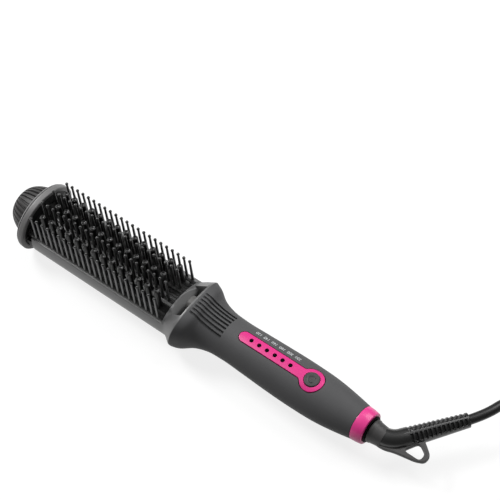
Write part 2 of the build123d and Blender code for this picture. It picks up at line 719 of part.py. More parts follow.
# ================================================================ end ring and swivel bush
ring_levels = [(ring_start, handle_stations[-1][2]), (body_len - ring_round, ring_end_r),
               (body_len, ring_end_r - ring_round)]
end_ring = Rot(0, 90, 0) * faceted(ring_levels, section_points)
end_ring += cylinder_x(ring_start - end_wall + fit_gap, ring_start, ring_spigot_r)
end_ring -= cylinder_x(ring_start - end_wall, body_len + 1, bush_r)
save("end_ring", end_ring)
bush = cylinder_x(bush_start, body_len, bush_r)
flange_levels = [(body_len, bush_flange_r), (body_len + bush_flange_t - bush_chamfer, bush_flange_r),
                 (body_len + bush_flange_t, bush_flange_r - bush_chamfer)]
bush += Rot(0, 90, 0) * faceted(flange_levels, section_points)
bush -= cylinder_x(bush_start - 1, body_len + bush_flange_t + 1, shank_r + bush_bore_clearance)
save("swivel_bush", bush)

# ================================================================ cord gland: neck, elbow, strain relief, loop
neck_start = body_len + bush_flange_t + axial_play
turn = math.radians(elbow_turn)
along = Vector(math.cos(turn), math.sin(turn), 0)
elbow_point = Vector(elbow_station, 0, 0)


def relief_point(distance):
    """Point on the strain relief's axis, at a distance from the turn."""
    return elbow_point + along * distance


def relief_plane(distance):
    """Plane across the strain relief's axis."""
    return Plane(origin=relief_point(distance), x_dir=(0, 0, 1), z_dir=along)


def relief_radius(distance):
    """Radius of the ribs at a distance from the turn."""
    share = (distance - relief_start) / (relief_len - relief_start)
    return relief_r + (relief_tip_r - relief_r) * share


neck_end = neck_start + neck_len
gland = Rot(0, 90, 0) * faceted([(neck_start, neck_r), (neck_end, neck_end_r)], 2 * relief_sides)
elbow_path = FilletPolyline((neck_end - 1, 0, 0), tuple(elbow_point), tuple(relief_point(rib_first)),
                            radius=elbow_bend_r)
elbow_section = Plane(origin=(neck_end - 1, 0, 0), x_dir=(0, 1, 0), z_dir=(1, 0, 0))
gland += sweep(elbow_section * RegularPolygon(elbow_r, relief_sides), elbow_path)


def relief_piece(start, end, start_r, end_r):
    """Stretch of the strain relief between two distances from the turn."""
    return relief_plane(0).location * faceted([(start, start_r), (end, end_r)], relief_sides)


gland += relief_piece(relief_start, relief_len - 1, relief_r - relief_core, relief_tip_r - relief_core / 2)
for i in range(rib_count):
    rib_start = rib_first + i * rib_pitch
    rib_end = rib_start + rib_pitch - rib_slot
    gland += relief_piece(rib_start, rib_end, relief_radius(rib_start), relief_radius(rib_end))
tip_start = rib_first + rib_count * rib_pitch
gland += relief_piece(tip_start, relief_len, relief_radius(tip_start), relief_tip_r)
loop_outer = FilletPolyline(*[(elbow_station + x, y) for x, y in loop_corners], radius=loop_round, close=True)
loop_inner = FilletPolyline(*[(elbow_station + x, y) for x, y in loop_hole_corners], radius=loop_hole_round,
                            close=True)
gland += extrude(Pos(0, 0, -loop_t / 2) * (make_face(loop_outer) - make_face(loop_inner)), loop_t)
nose_end = head_start - nose_len
gland += cylinder_x(head_start + shank_head_t, neck_start, shank_r)
gland += cylinder_x(head_start, head_start + shank_head_t, shank_head_r)
gland += cylinder_x(nose_end, head_start, nose_r)
slip_stations = (nose_end + axial_play, nose_end + axial_play + slip_ring_pitch)
save("cord_gland", gland)
save("slip_rings", *[
    cylinder_x(x, x + slip_ring_w, slip_ring_r) - cylinder_x(x - 1, x + slip_ring_w + 1, nose_r)
    for x in slip_stations])
save("contact_block", block(block_station, block_station + block_len, -block_w / 2, block_w / 2,
                            block_low, block_low + block_h))
save("contact_brushes", *[
    block(x + (slip_ring_w - brush_w) / 2, x + (slip_ring_w + brush_w) / 2, -2.0, 2.0,
          block_low + block_h, block_low + block_h + brush_t) for x in slip_stations])

# ================================================================ cord
cord_d = 2 * cord_r
cord_low = floor_z + cord_r + cord_rest_gap
cord_second = cord_low + cord_d
cord_start = relief_point(relief_len + cord_clearance)
coil_entry_y = cord_corners[-1][1]
route = [(cord_start.X, cord_start.Y, 0.0)]
route += [(station, y, -drop) for station, y, drop in cord_corners]
route += [(station, coil_entry_y, cord_low) for station in cord_floor_stations]


def cord_tube(points):
    """Tube along straight runs joined by the largest arcs that the runs allow."""
    radii = []
    for before, corner, after in zip(points, points[1:], points[2:]):
        u = Vector(*corner) - Vector(*before)
        v = Vector(*after) - Vector(*corner)
        radii.append(0.45 * min(u.length, v.length) / math.tan(math.radians(u.get_angle(v)) / 2))
    print("cord radii", [round(r, 1) for r in radii])
    path = FilletPolyline(*points, radius=radii)
    first = (Vector(*points[1]) - Vector(*points[0])).normalized()
    across = Plane(origin=points[0], x_dir=(0, 0, 1), z_dir=first)
    tube = sweep(across * Circle(cord_r), path)
    print("cord volume", round(tube.volume), "section x length", round(math.pi * cord_r ** 2 * path.length))
    return tube


save("cord_tube", cord_tube(route))

# ================================================================ put-away coil and plug
# the cord runs onto the outermost turn at floor level, winds inwards, climbs and winds out again
coil_entry_x = cord_floor_stations[-1]
outer_turn_r = coil_mean_r + (coil_turns_wide - 1) / 2 * cord_d
coil_centre = (coil_entry_x + coil_lead_in, coil_entry_y - outer_turn_r)
coil_low = cord_low - cord_r - coil_margin
coil_half_w = coil_turns_wide * cord_r + coil_margin
ring_low = Pos(*coil_centre, coil_low)
coil = ring_low * extrude(Circle(coil_mean_r + coil_half_w), coil_layers * cord_d + 2 * coil_margin)
coil -= ring_low * extrude(Circle(coil_mean_r - coil_half_w), coil_layers * cord_d + 2 * coil_margin)
entry = Plane(origin=(coil_entry_x, coil_entry_y, cord_low), x_dir=(0, 1, 0), z_dir=(1, 0, 0))
coil += extrude(entry * Circle(cord_r), coil_lead_in)
plug_z = floor_z + cord_rest_gap + plug_h / 2
exit_x = coil_centre[0]
coil += cord_tube([
    (exit_x, coil_entry_y, cord_second),
    (exit_x + coil_exit_level, coil_entry_y, cord_second),
    (exit_x + coil_lead_out - coil_exit_level, coil_entry_y, plug_z),
    (exit_x + coil_lead_out, coil_entry_y, plug_z),
])
save("cord_coil", coil)
plug_x = exit_x + coil_lead_out
plug_face = Plane(origin=(plug_x, coil_entry_y, plug_z), x_dir=(0, 1, 0), z_dir=(1, 0, 0))
plug = plug_face.location * faceted([(0, cord_r + 1.0), (plug_neck_len, plug_neck_r + 1.0)], relief_sides)
plug_body_face = plug_face.offset(plug_neck_len)
plug += extrude(plug_body_face * RectangleRounded(plug_w, plug_h, plug_round), plug_len)
save("plug_body", plug)
pin_face = plug_body_face.offset(plug_len)
save("plug_pins", *[
    extrude(pin_face * Pos(side * plug_pin_spacing / 2, 0) * Circle(plug_pin_r), plug_pin_len)
    for side in (-1, 1)])

for name in done:
    print(name)
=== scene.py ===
"""Looks of a heated straightening brush: bristle head, grooved handle, swivel gland and cord."""

import logging
import math
from dataclasses import dataclass, field
from enum import Enum
from functools import cache
from typing import Callable, Iterable, Sequence

import bmesh
import bpy
import numpy as np
from mathutils import Matrix, Vector


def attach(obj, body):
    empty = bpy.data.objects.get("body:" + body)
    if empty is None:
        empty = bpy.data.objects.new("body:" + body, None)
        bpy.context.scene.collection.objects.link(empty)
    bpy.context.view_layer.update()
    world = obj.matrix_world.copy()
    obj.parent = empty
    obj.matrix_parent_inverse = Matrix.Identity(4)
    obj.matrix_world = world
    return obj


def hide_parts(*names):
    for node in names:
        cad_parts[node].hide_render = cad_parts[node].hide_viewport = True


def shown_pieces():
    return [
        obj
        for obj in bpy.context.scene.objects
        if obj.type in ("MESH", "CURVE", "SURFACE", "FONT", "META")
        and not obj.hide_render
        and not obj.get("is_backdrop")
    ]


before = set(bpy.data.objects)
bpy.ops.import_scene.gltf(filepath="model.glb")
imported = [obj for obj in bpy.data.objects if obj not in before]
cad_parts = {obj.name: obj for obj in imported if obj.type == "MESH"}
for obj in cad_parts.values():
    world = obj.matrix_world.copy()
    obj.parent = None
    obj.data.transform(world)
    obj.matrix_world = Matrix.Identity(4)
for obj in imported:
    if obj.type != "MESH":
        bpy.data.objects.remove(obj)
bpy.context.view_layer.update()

log = logging.getLogger("brush")

Point = Sequence[float]
Pair = tuple[float, float]
Colour = tuple[float, float, float, float]
Faces = list[list[int]]
Form = tuple[np.ndarray, Faces]

# Lengths are in mm. Stations run along the handle's axis, and heights are measured from it.
MM = 0.001
AXIS_HEIGHT = 19.8
FLOOR = -AXIS_HEIGHT
CAP_STATION = 25.0
CAP_LEAN = math.radians(7.5)
CAP_FLUTES = 32
CAP_REACH = 20.6
CAP_END_R = 4.5
TIP_STATION = (CAP_STATION - CAP_REACH * math.cos(CAP_LEAN)
               - CAP_END_R * math.cos(math.pi / CAP_FLUTES) * math.sin(CAP_LEAN))
BRUSH_END = 294.9
MID_STATION = (TIP_STATION + BRUSH_END) / 2
RAIL_TOP = 5.6
CREST = 154.0


# ---------------------------------------------------------------- numbers
def part(points: Iterable[Point]) -> np.ndarray:
    """Turn points along the handle's axis into the part's frame.

    Args:
        points: rows of (station, across, height), in mm.

    Returns:
        The same rows in metres in the part's own frame.
    """
    rows = np.asarray(points, float).reshape(-1, 3)
    return (rows - np.array([MID_STATION, 0.0, FLOOR])) * MM


def srgb(value: float) -> float:
    """Linear value of one display channel from 0 to 255."""
    share = value / 255
    return share / 12.92 if share <= 0.04045 else ((share + 0.055) / 1.055) ** 2.4


def tone(red: float, green: float, blue: float) -> Colour:
    """Linear colour from display values."""
    return (srgb(red), srgb(green), srgb(blue), 1.0)


def around(sides: int) -> np.ndarray:
    """Angles of a full turn, in radians from 0."""
    return np.arange(sides) * 2 * math.pi / sides


def ring(x: np.ndarray | float, y: np.ndarray | float, z: np.ndarray | float) -> np.ndarray:
    """Rows of (station, across, height) from three columns, any of which may be one number."""
    return np.stack(np.broadcast_arrays(x, y, z), 1)


def ramp(value: np.ndarray | float, width: float) -> np.ndarray:
    """Share of a width that a value covers, from 0 to 1."""
    return np.clip(value / width, 0, 1)


def oval(angles: np.ndarray, half_w: float, half_h: float,
         power: float) -> tuple[np.ndarray, np.ndarray]:
    """Outline between an ellipse, at a power of 2, and a box.

    Args:
        angles: angles of its points, in radians.
        half_w: half of its width.
        half_h: half of its height.
        power: squareness.

    Returns:
        Places across and heights of the points.
    """
    c, s = np.cos(angles), np.sin(angles)
    return (half_w * np.sign(c) * np.abs(c) ** (2 / power),
            half_h * np.sign(s) * np.abs(s) ** (2 / power))


def crown(across: np.ndarray, half_w: np.ndarray | float, half_h: np.ndarray | float,
          power: np.ndarray | float) -> np.ndarray:
    """Heights of an oval's upper side at places across it."""
    return half_h * (1 - np.clip(np.abs(across) / half_w, 0, 1) ** power) ** (1 / power)


def shrink(y: np.ndarray, z: np.ndarray, inset: np.ndarray) -> tuple[np.ndarray, np.ndarray]:
    """Move points of a section towards the axis by an inset each."""
    size = np.hypot(y, z)
    return y * (1 - inset / size), z * (1 - inset / size)


def hermite(rows: np.ndarray, at: np.ndarray) -> np.ndarray:
    """Smooth values between rows whose first column is the station.

    Args:
        rows: table of values.
        at: stations to read.

    Returns:
        One row of values at each station, without the station.
    """
    x, y = rows[:, 0], rows[:, 1:]
    slope = np.zeros_like(y)
    step = np.diff(x)[:, None]
    rise = np.diff(y, axis=0) / step
    slope[1:-1] = (rise[:-1] * step[1:] + rise[1:] * step[:-1]) / (step[1:] + step[:-1])
    slope[0], slope[-1] = rise[0], rise[-1]
    k = np.clip(np.searchsorted(x, at, side="right") - 1, 0, len(x) - 2)
    h = x[k + 1] - x[k]
    t = ((at - x[k]) / h)[:, None]
    h = h[:, None]
    return ((2 * t ** 3 - 3 * t ** 2 + 1) * y[k] + (t ** 3 - 2 * t ** 2 + t) * h * slope[k]
            + (3 * t ** 2 - 2 * t ** 3) * y[k + 1] + (t ** 3 - t ** 2) * h * slope[k + 1])


def circle(x: float, y: float, radius: float, count: int = 48, start: float = 0.0,
           end: float = 360.0) -> list[Pair]:
    """Points of a circle or an arc.

    Args:
        x: first coordinate of its centre.
        y: second coordinate of its centre.
        radius: its radius.
        count: number of points.
        start: angle of the first point, in degrees.
        end: angle of the last point, which a full circle leaves out.

    Returns:
        The points.
    """
    steps = count if abs(end - start) >= 360 else count - 1
    angles = [math.radians(start + (end - start) * k / steps) for k in range(count)]
    return [(x + radius * math.cos(a), y + radius * math.sin(a)) for a in angles]


# ---------------------------------------------------------------- shader groups
# Sockets of a Mix node that mixes colours; their names are shared with its other data types.
MIX_SHARE, MIX_FIRST, MIX_SECOND, MIX_RESULT = 0, 6, 7, 2


def add_node(tree: bpy.types.NodeTree, kind: str, **values: float | Point) -> bpy.types.Node:
    """Add a node to a shader tree.

    Args:
        tree: tree that gets the node.
        kind: type of the node, without the ShaderNode in front.
        values: values of its input sockets, with _ for a space in a socket's name.

    Returns:
        The node.
    """
    made = tree.nodes.new("ShaderNode" + kind)
    for label, value in values.items():
        made.inputs[label.replace("_", " ")].default_value = value
    return made


def join(tree: bpy.types.NodeTree,
         *pairs: tuple[bpy.types.NodeSocket, bpy.types.NodeSocket]) -> None:
    """Link sockets of a tree, in pairs of an output and an input."""
    for start, end in pairs:
        tree.links.new(start, end)


class Groups:
    """Shader node groups that several finishes share, each built once."""

    @staticmethod
    def _open(name: str, inputs: dict[str, float | Colour]) -> tuple[
            bpy.types.NodeTree, bpy.types.NodeOutputs, bpy.types.NodeInputs]:
        """Make an empty group with its sockets.

        Args:
            name: name of the group.
            inputs: default value of each input, a number or a colour.

        Returns:
            The group, and the sockets inside it for its inputs and its outputs.
        """
        tree = bpy.data.node_groups.new(name, "ShaderNodeTree")
        for label, default in inputs.items():
            kind = "NodeSocketColor" if isinstance(default, tuple) else "NodeSocketFloat"
            socket = tree.interface.new_socket(name=label, in_out="INPUT", socket_type=kind)
            socket.default_value = default
        for label, kind in (("Color", "NodeSocketColor"), ("Roughness", "NodeSocketFloat"),
                            ("Height", "NodeSocketFloat")):
            tree.interface.new_socket(name=label, in_out="OUTPUT", socket_type=kind)
        given = tree.nodes.new("NodeGroupInput").outputs
        return tree, given, tree.nodes.new("NodeGroupOutput").inputs

    @staticmethod
    def _close(tree: bpy.types.NodeTree, given: bpy.types.NodeOutputs, out: bpy.types.NodeInputs,
               share: bpy.types.NodeSocket, pattern: bpy.types.NodeSocket,
               height: bpy.types.NodeSocket) -> None:
        """Give the group its mixed tints, its varied roughness and its height.

        Args:
            tree: the group.
            given: sockets of its inputs.
            out: sockets of its outputs.
            share: share of the second tint.
            pattern: pattern that the roughness follows.
            height: height for the bump.
        """
        mix = add_node(tree, "Mix")
        mix.data_type = "RGBA"
        rough = add_node(tree, "MapRange")
        join(tree, (share, mix.inputs[MIX_SHARE]), (given["Tint"], mix.inputs[MIX_FIRST]),
             (given["Second Tint"], mix.inputs[MIX_SECOND]),
             (mix.outputs[MIX_RESULT], out["Color"]), (pattern, rough.inputs["Value"]),
             (given["Rough Low"], rough.inputs["To Min"]),
             (given["Rough High"], rough.inputs["To Max"]),
             (rough.outputs["Result"], out["Roughness"]), (height, out["Height"]))

    @staticmethod
    @cache
    def moulded() -> bpy.types.NodeTree:
        """Moulded surface: slow changes of tint and roughness, and a fine grain.

        Returns:
            The group.
        """
        tree, given, out = Groups._open("moulded_surface", {
            "Tint": (0.1, 0.1, 0.1, 1), "Second Tint": (0.2, 0.2, 0.2, 1), "Mottle Scale": 60.0,
            "Mottle": 0.15, "Grain Scale": 2500.0, "Rough Low": 0.4, "Rough High": 0.55})
        place = add_node(tree, "TexCoord")
        mottle = add_node(tree, "TexNoise", Detail=3)
        spread = add_node(tree, "MapRange", From_Min=0.35, From_Max=0.75)
        share = add_node(tree, "Math")
        share.operation = "MULTIPLY"
        grain = add_node(tree, "TexNoise", Detail=2)
        join(tree, (place.outputs["Object"], mottle.inputs["Vector"]),
             (given["Mottle Scale"], mottle.inputs["Scale"]),
             (mottle.outputs["Fac"], spread.inputs["Value"]),
             (spread.outputs["Result"], share.inputs[0]), (given["Mottle"], share.inputs[1]),
             (place.outputs["Object"], grain.inputs["Vector"]),
             (given["Grain Scale"], grain.inputs["Scale"]))
        Groups._close(tree, given, out, share.outputs[0], mottle.outputs["Fac"],
                      grain.outputs["Fac"])
        return tree

    @staticmethod
    @cache
    def drawn_metal() -> bpy.types.NodeTree:
        """Drawn or turned metal: fine lines along one direction in tint, roughness and height.

        Returns:
            The group.
        """
        tree, given, out = Groups._open("drawn_metal", {
            "Tint": (0.6, 0.6, 0.6, 1), "Second Tint": (0.4, 0.4, 0.4, 1), "Line Scale": 900.0,
            "Rough Low": 0.2, "Rough High": 0.4})
        place = add_node(tree, "TexCoord")
        stretch = add_node(tree, "Mapping", Scale=(1.0, 0.04, 1.0))
        lines = add_node(tree, "TexNoise", Detail=4)
        join(tree, (place.outputs["Object"], stretch.inputs["Vector"]),
             (stretch.outputs["Vector"], lines.inputs["Vector"]),
             (given["Line Scale"], lines.inputs["Scale"]))
        Groups._close(tree, given, out, *[lines.outputs["Fac"]] * 3)
        return tree


# ---------------------------------------------------------------- finishes
@dataclass(frozen=True)
class Surface:
    """Base of the finishes.

    Args:
        name: name of the finish.
        tint: main colour.
        second: colour of the patches or lines.
        rough: lowest and highest roughness.
        grain: depth of the grain or lines, in mm.
        strength: strength of the bump.
    """

    name: str
    tint: Colour
    second: Colour
    rough: Pair = (0.42, 0.58)
    grain: float = 0.02
    strength: float = 0.6

    def group(self) -> bpy.types.NodeTree:
        """Shader group of the finish."""
        raise NotImplementedError

    def pattern(self) -> dict[str, float]:
        """Values of the group's own inputs."""
        raise NotImplementedError

    def gloss(self) -> dict[str, float]:
        """Values that are the same all over, set on the shader."""
        raise NotImplementedError

    @cache
    def material(self) -> bpy.types.Material:
        """Material of the finish, built once.

        Returns:
            The material.
        """
        made = bpy.data.materials.new("finish_" + self.name)
        made.use_nodes = True
        made.diffuse_color = self.tint
        tree = made.node_tree
        group = tree.nodes.new("ShaderNodeGroup")
        group.node_tree = self.group()
        shared = {"Tint": self.tint, "Second Tint": self.second, "Rough Low": self.rough[0],
                  "Rough High": self.rough[1]}
        for label, value in (shared | self.pattern()).items():
            group.inputs[label].default_value = value
        shader = tree.nodes["Principled BSDF"]
        for label, value in self.gloss().items():
            shader.inputs[label].default_value = value
        bump = add_node(tree, "Bump", Distance=self.grain * MM, Strength=self.strength)
        join(tree, (group.outputs["Color"], shader.inputs["Base Color"]),
             (group.outputs["Roughness"], shader.inputs["Roughness"]),
             (group.outputs["Height"], bump.inputs["Height"]),
             (bump.outputs["Normal"], shader.inputs["Normal"]))
        return made


@dataclass(frozen=True)
class Moulded(Surface):
    """Moulded plastic or rubber, whose second tint shows in slow patches.

    Args:
        mottle: strength of the patches.
        mottle_scale: patches per metre.
        grain_scale: grains per metre.
        coat: strength of a clear lacquer.
        coat_rough: roughness of that lacquer.
        specular: strength of the plain gloss.
    """

    mottle: float = 0.3
    mottle_scale: float = 70.0
    grain_scale: float = 2600.0
    coat: float = 0.0
    coat_rough: float = 0.12
    specular: float = 0.5

    def group(self) -> bpy.types.NodeTree:
        """Shader group of the finish."""
        return Groups.moulded()

    def pattern(self) -> dict[str, float]:
        """Values of the group's own inputs."""
        return {"Mottle": self.mottle, "Mottle Scale": self.mottle_scale,
                "Grain Scale": self.grain_scale}

    def gloss(self) -> dict[str, float]:
        """Values that are the same all over, set on the shader."""
        return {"Coat Weight": self.coat, "Coat Roughness": self.coat_rough,
                "Specular IOR Level": self.specular}


@dataclass(frozen=True)
class Metal(Surface):
    """Drawn, turned or plated metal, whose second tint shows in fine lines.

    Args:
        line_scale: lines per metre.
    """

    rough: Pair = (0.2, 0.38)
    grain: float = 0.01
    strength: float = 0.4
    line_scale: float = 900.0

    def group(self) -> bpy.types.NodeTree:
        """Shader group of the finish."""
        return Groups.drawn_metal()

    def pattern(self) -> dict[str, float]:
        """Values of the group's own inputs."""
        return {"Line Scale": self.line_scale}

    def gloss(self) -> dict[str, float]:
        """Values that are the same all over, set on the shader."""
        return {"Metallic": 1.0}


class Body(Enum):
    """Bodies that the pieces ride on."""

    HANDLE = "handle"
    BUTTON = "button"
    SWIVEL = "swivel"


class Finish(Enum):
    """Finishes of the brush's pieces."""

    HOUSING = Moulded("housing_grey", tone(84, 84, 85), tone(94, 94, 95), (0.5, 0.62),
                      grain=0.03, specular=0.15)
    FRAME = Moulded("frame_grey", tone(99, 99, 99), tone(109, 109, 109), (0.36, 0.46),
                    grain=0.015, specular=0.8)
    COLLAR = Moulded("collar_satin", tone(114, 113, 113), tone(125, 124, 124), (0.42, 0.52),
                     grain=0.01)
    CAP = Moulded("cap_grey", tone(62, 61, 61), tone(71, 70, 70), (0.42, 0.54), grain=0.015,
                  specular=0.3)
    CARRIER = Moulded("carrier_black", tone(18, 18, 18), tone(26, 26, 26), (0.5, 0.7))
    PLATE = Moulded("plate_ceramic", tone(24, 24, 24), tone(32, 32, 32), (0.3, 0.42),
                    mottle_scale=400, grain=0.01, grain_scale=5000)
    # Black nylon pins, tinted lighter than plain black as painted light, so that their sides look
    # lit.
    PIN = Moulded("pin_nylon_painted_light", tone(42, 42, 42), tone(54, 54, 54), (0.24, 0.34),
                  mottle_scale=300, grain=0.004, coat=0.5)
    # Black nylon teeth, tinted almost pure black as painted shade, so that their sides stay dark
    # under the soft lamps.
    TOOTH = Moulded("tooth_nylon_painted_shade", tone(8, 8, 8), tone(13, 13, 13), (0.3, 0.4),
                    mottle_scale=300, grain=0.008, coat=0.1)
    ACCENT = Moulded("accent_pink", tone(220, 44, 132), tone(230, 58, 144), (0.34, 0.44),
                     mottle=0.2, coat=0.12, grain=0.002)
    # The strip's pink, tinted lighter as a painted highlight; its clear coat gives it real gloss.
    RING_PAINTED_HIGHLIGHT = Moulded("ring_pink", tone(232, 58, 144), tone(242, 72, 156), (0.38, 0.46),
                   mottle=0.2, coat=0.3, grain=0.002)
    BUTTON = Moulded("button_grey", tone(56, 55, 55), tone(66, 65, 65), (0.42, 0.52),
                     grain=0.015)
    LENS = Moulded("lens_smoke", tone(10, 4, 7), tone(14, 6, 10), (0.5, 0.6), grain=0.002,
                   specular=0.03)
    PRINT = Moulded("print_grey", tone(190, 192, 194), tone(206, 208, 208), (0.5, 0.6),
                    grain=0.004)
    BUSH = Moulded("bush_black", tone(10, 10, 10), tone(15, 15, 15), (0.5, 0.6), grain=0.006,
                   specular=0.05)
    GLAND = Moulded("gland_rubber", tone(57, 56, 56), tone(66, 65, 65), (0.42, 0.55),
                    grain=0.02)
    SLEEVE = Moulded("sleeve_black", tone(22, 22, 22), tone(30, 30, 30), (0.38, 0.48),
                     grain=0.003, coat=0.6)
    CORD = Moulded("cord_sheath", tone(25, 25, 25), tone(32, 32, 32), (0.34, 0.46),
                   mottle_scale=150, grain=0.01)
    PLUG = Moulded("plug_black", tone(30, 30, 30), tone(38, 38, 38), (0.4, 0.55), grain=0.03)
    NOZZLE = Moulded("nozzle_grey", tone(88, 87, 86), tone(98, 97, 96), (0.5, 0.6),
                     grain=0.01, specular=0.3)
    CERAMIC = Moulded("heater_ceramic", tone(214, 210, 200), tone(196, 190, 178), (0.5, 0.7),
                      grain=0.02)
    FILM = Moulded("insulator_film", tone(196, 140, 40), tone(170, 116, 30), (0.2, 0.3),
                   coat=0.5, grain=0.004)
    LEAD = Moulded("lead_red", tone(170, 26, 22), tone(186, 40, 34), (0.4, 0.5), grain=0.01)
    BOARD = Moulded("board_green", tone(16, 86, 40), tone(24, 104, 50), (0.25, 0.4),
                    mottle_scale=900, coat=0.3, grain=0.01)
    CHIP = Moulded("chip_cream", tone(232, 224, 188), tone(214, 204, 160), (0.35, 0.5),
                   grain=0.004)
    STEEL = Metal("steel_bright", tone(190, 190, 192), tone(150, 150, 154))
    PLATED = Metal("pins_plated", tone(222, 216, 200), tone(190, 182, 160), (0.14, 0.3))
    BRASS = Metal("contact_brass", tone(214, 178, 104), tone(176, 138, 72), (0.2, 0.36))

    def dress(self, piece: bpy.types.Object) -> bpy.types.Object:
        """Give a piece this finish.

        Args:
            piece: new piece or carried-over node.

        Returns:
            The same piece.
        """
        piece.data.materials.clear()
        piece.data.materials.append(self.value.material())
        return piece

    def place(self, piece: bpy.types.Object, body: Body, slot: str,
              *nodes: str) -> bpy.types.Object:
        """Dress a new piece, hang it on the body that it moves with, and hide the nodes that it
        replaces.

        Args:
            piece: new piece.
            body: body that it moves with.
            slot: record's material slot; not used.
            nodes: nodes that it replaces.

        Returns:
            The same piece.
        """
        self.dress(piece)
        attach(piece, body.value)
        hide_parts(*nodes)
        return piece


# ---------------------------------------------------------------- mesh tools
class Cut(Enum):
    """Ways in which one solid changes another."""

    AWAY = "DIFFERENCE"
    WITHIN = "INTERSECT"
    TOGETHER = "UNION"


class Shape:
    """Makes pieces from rings and outlines given in mm along the handle's axis."""

    @staticmethod
    def link(name: str, data: bpy.types.ID) -> bpy.types.Object:
        """New object in the scene.

        Args:
            name: its name.
            data: its mesh, curve, light or camera.

        Returns:
            The object.
        """
        made = bpy.data.objects.new(name, data)
        bpy.context.scene.collection.objects.link(made)
        return made

    @staticmethod
    def weld(mesh: bpy.types.Mesh, gap: float) -> None:
        """Merge a mesh's double points and turn its faces outwards.

        Args:
            mesh: the mesh.
            gap: distance under which points are merged, in metres.
        """
        body = bmesh.new()
        body.from_mesh(mesh)
        bmesh.ops.remove_doubles(body, verts=body.verts, dist=gap)
        bmesh.ops.recalc_face_normals(body, faces=body.faces)
        body.to_mesh(mesh)
        body.free()

    @staticmethod
    def smooth(made: bpy.types.Object, crease: float) -> None:
        """Shade smooth, with edges over the crease angle in degrees kept sharp."""
        made.data.shade_smooth()
        made.data.set_sharp_from_angle(angle=math.radians(crease))

    @staticmethod
    def piece(name: str, points: np.ndarray, faces: Faces,
              crease: float = 32.0) -> bpy.types.Object:
        """Object from points and faces.

        Args:
            name: piece name.
            points: rows of (station, across, height).
            faces: vertex numbers of each face.
            crease: angle in degrees above which an edge stays sharp.

        Returns:
            The linked object, at the origin.
        """
        mesh = bpy.data.meshes.new(name)
        mesh.from_pydata(part(points).tolist(), [], faces)
        Shape.weld(mesh, 1e-7)
        mesh.validate()
        made = Shape.link(name, mesh)
        Shape.smooth(made, crease)
        return made

    @staticmethod
    def skin(rings: Sequence[np.ndarray], caps: bool = True) -> Form:
        """Quads between closed rings of equal size.

        Args:
            rings: rows of points, one array a ring.
            caps: fill the first and last ring.

        Returns:
            All points, and the faces.
        """
        count = len(rings[0])
        faces: Faces = []
        for row in range(len(rings) - 1):
            a, b = row * count, (row + 1) * count
            faces += [[a + k, a + (k + 1) % count, b + (k + 1) % count, b + k]
                      for k in range(count)]
        if caps:
            last = (len(rings) - 1) * count
            faces += [list(range(count)), [last + k for k in range(count)][::-1]]
        return np.concatenate(rings), faces

    @staticmethod
    def merged(forms: Iterable[Form]) -> Form:
        """Several forms as one.

        Args:
            forms: points and faces of each.

        Returns:
            All points, and the faces.
        """
        stack, faces, count = [], [], 0
        for points, quads in forms:
            faces += [[count + k for k in face] for face in quads]
            stack.append(points)
            count += len(points)
        return np.concatenate(stack), faces

    @staticmethod
    def stood(x: float, y: float, profile: Sequence[Pair], sides: int) -> Form:
        """Form turned about an upright axis.

        Args:
            x: station of the axis.
            y: place of the axis across the brush.
            profile: rows of (radius, height).
            sides: points round the axis.

        Returns:
            Its points and faces.
        """
        angles = around(sides)
        return Shape.skin([ring(x + r * np.cos(angles), y + r * np.sin(angles), z)
                           for r, z in profile])

    @staticmethod
    def turned(name: str, profile: Sequence[Pair], sides: int,
               move: Callable[[np.ndarray], np.ndarray] | None = None,
               loop: bool = False) -> bpy.types.Object:
        """Piece turned about the handle's axis.

        Args:
            name: piece name.
            profile: rows of (station, radius).
            sides: points round the axis.
            move: change to the points before they are placed.
            loop: join the profile's end to its start, for a ring with a bore.

        Returns:
            The object.
        """
        angles = around(sides)
        rings = [ring(s, r * np.cos(angles), r * np.sin(angles)) for s, r in profile]
        if loop:
            rings.append(rings[0])
        points, faces = Shape.skin(rings, caps=not loop)
        return Shape.piece(name, move(points) if move else points, faces)

    @staticmethod
    def rounded(profile: Sequence[Pair], radius: float, steps: int = 4,
                ends: bool = False) -> list[Pair]:
        """Round the corners of an open or closed profile.

        Args:
            profile: corner points.
            radius: rounding radius, cut down where a side is short.
            steps: points on each arc.
            ends: treat the profile as closed and round its ends too.

        Returns:
            The rounded profile.
        """
        corners = [np.array(p, float) for p in profile]
        count = len(corners)
        out: list[Pair] = []
        for k, here in enumerate(corners):
            if not ends and k in (0, count - 1):
                out.append(tuple(here))
                continue
            before, after = corners[(k - 1) % count], corners[(k + 1) % count]
            u, v = before - here, after - here
            lu, lv = np.linalg.norm(u), np.linalg.norm(v)
            cut = min(radius, 0.45 * lu, 0.45 * lv)
            start, end = here + u / lu * cut, here + v / lv * cut
            for step in range(steps + 1):
                t = step / steps
                out.append(tuple((1 - t) ** 2 * start + 2 * t * (1 - t) * here + t ** 2 * end))
        return out

    @staticmethod
    def meshed(name: str, curve: bpy.types.Curve) -> bpy.types.Mesh:
        """Turn a curve or text into a mesh.

        Args:
            name: name of the mesh.
            curve: the curve or text.

        Returns:
            The mesh.
        """
        holder = Shape.link(name + "_outline", curve)
        bpy.context.view_layer.update()
        mesh = bpy.data.meshes.new_from_object(holder)
        bpy.data.objects.remove(holder)
        mesh.name = name
        return mesh

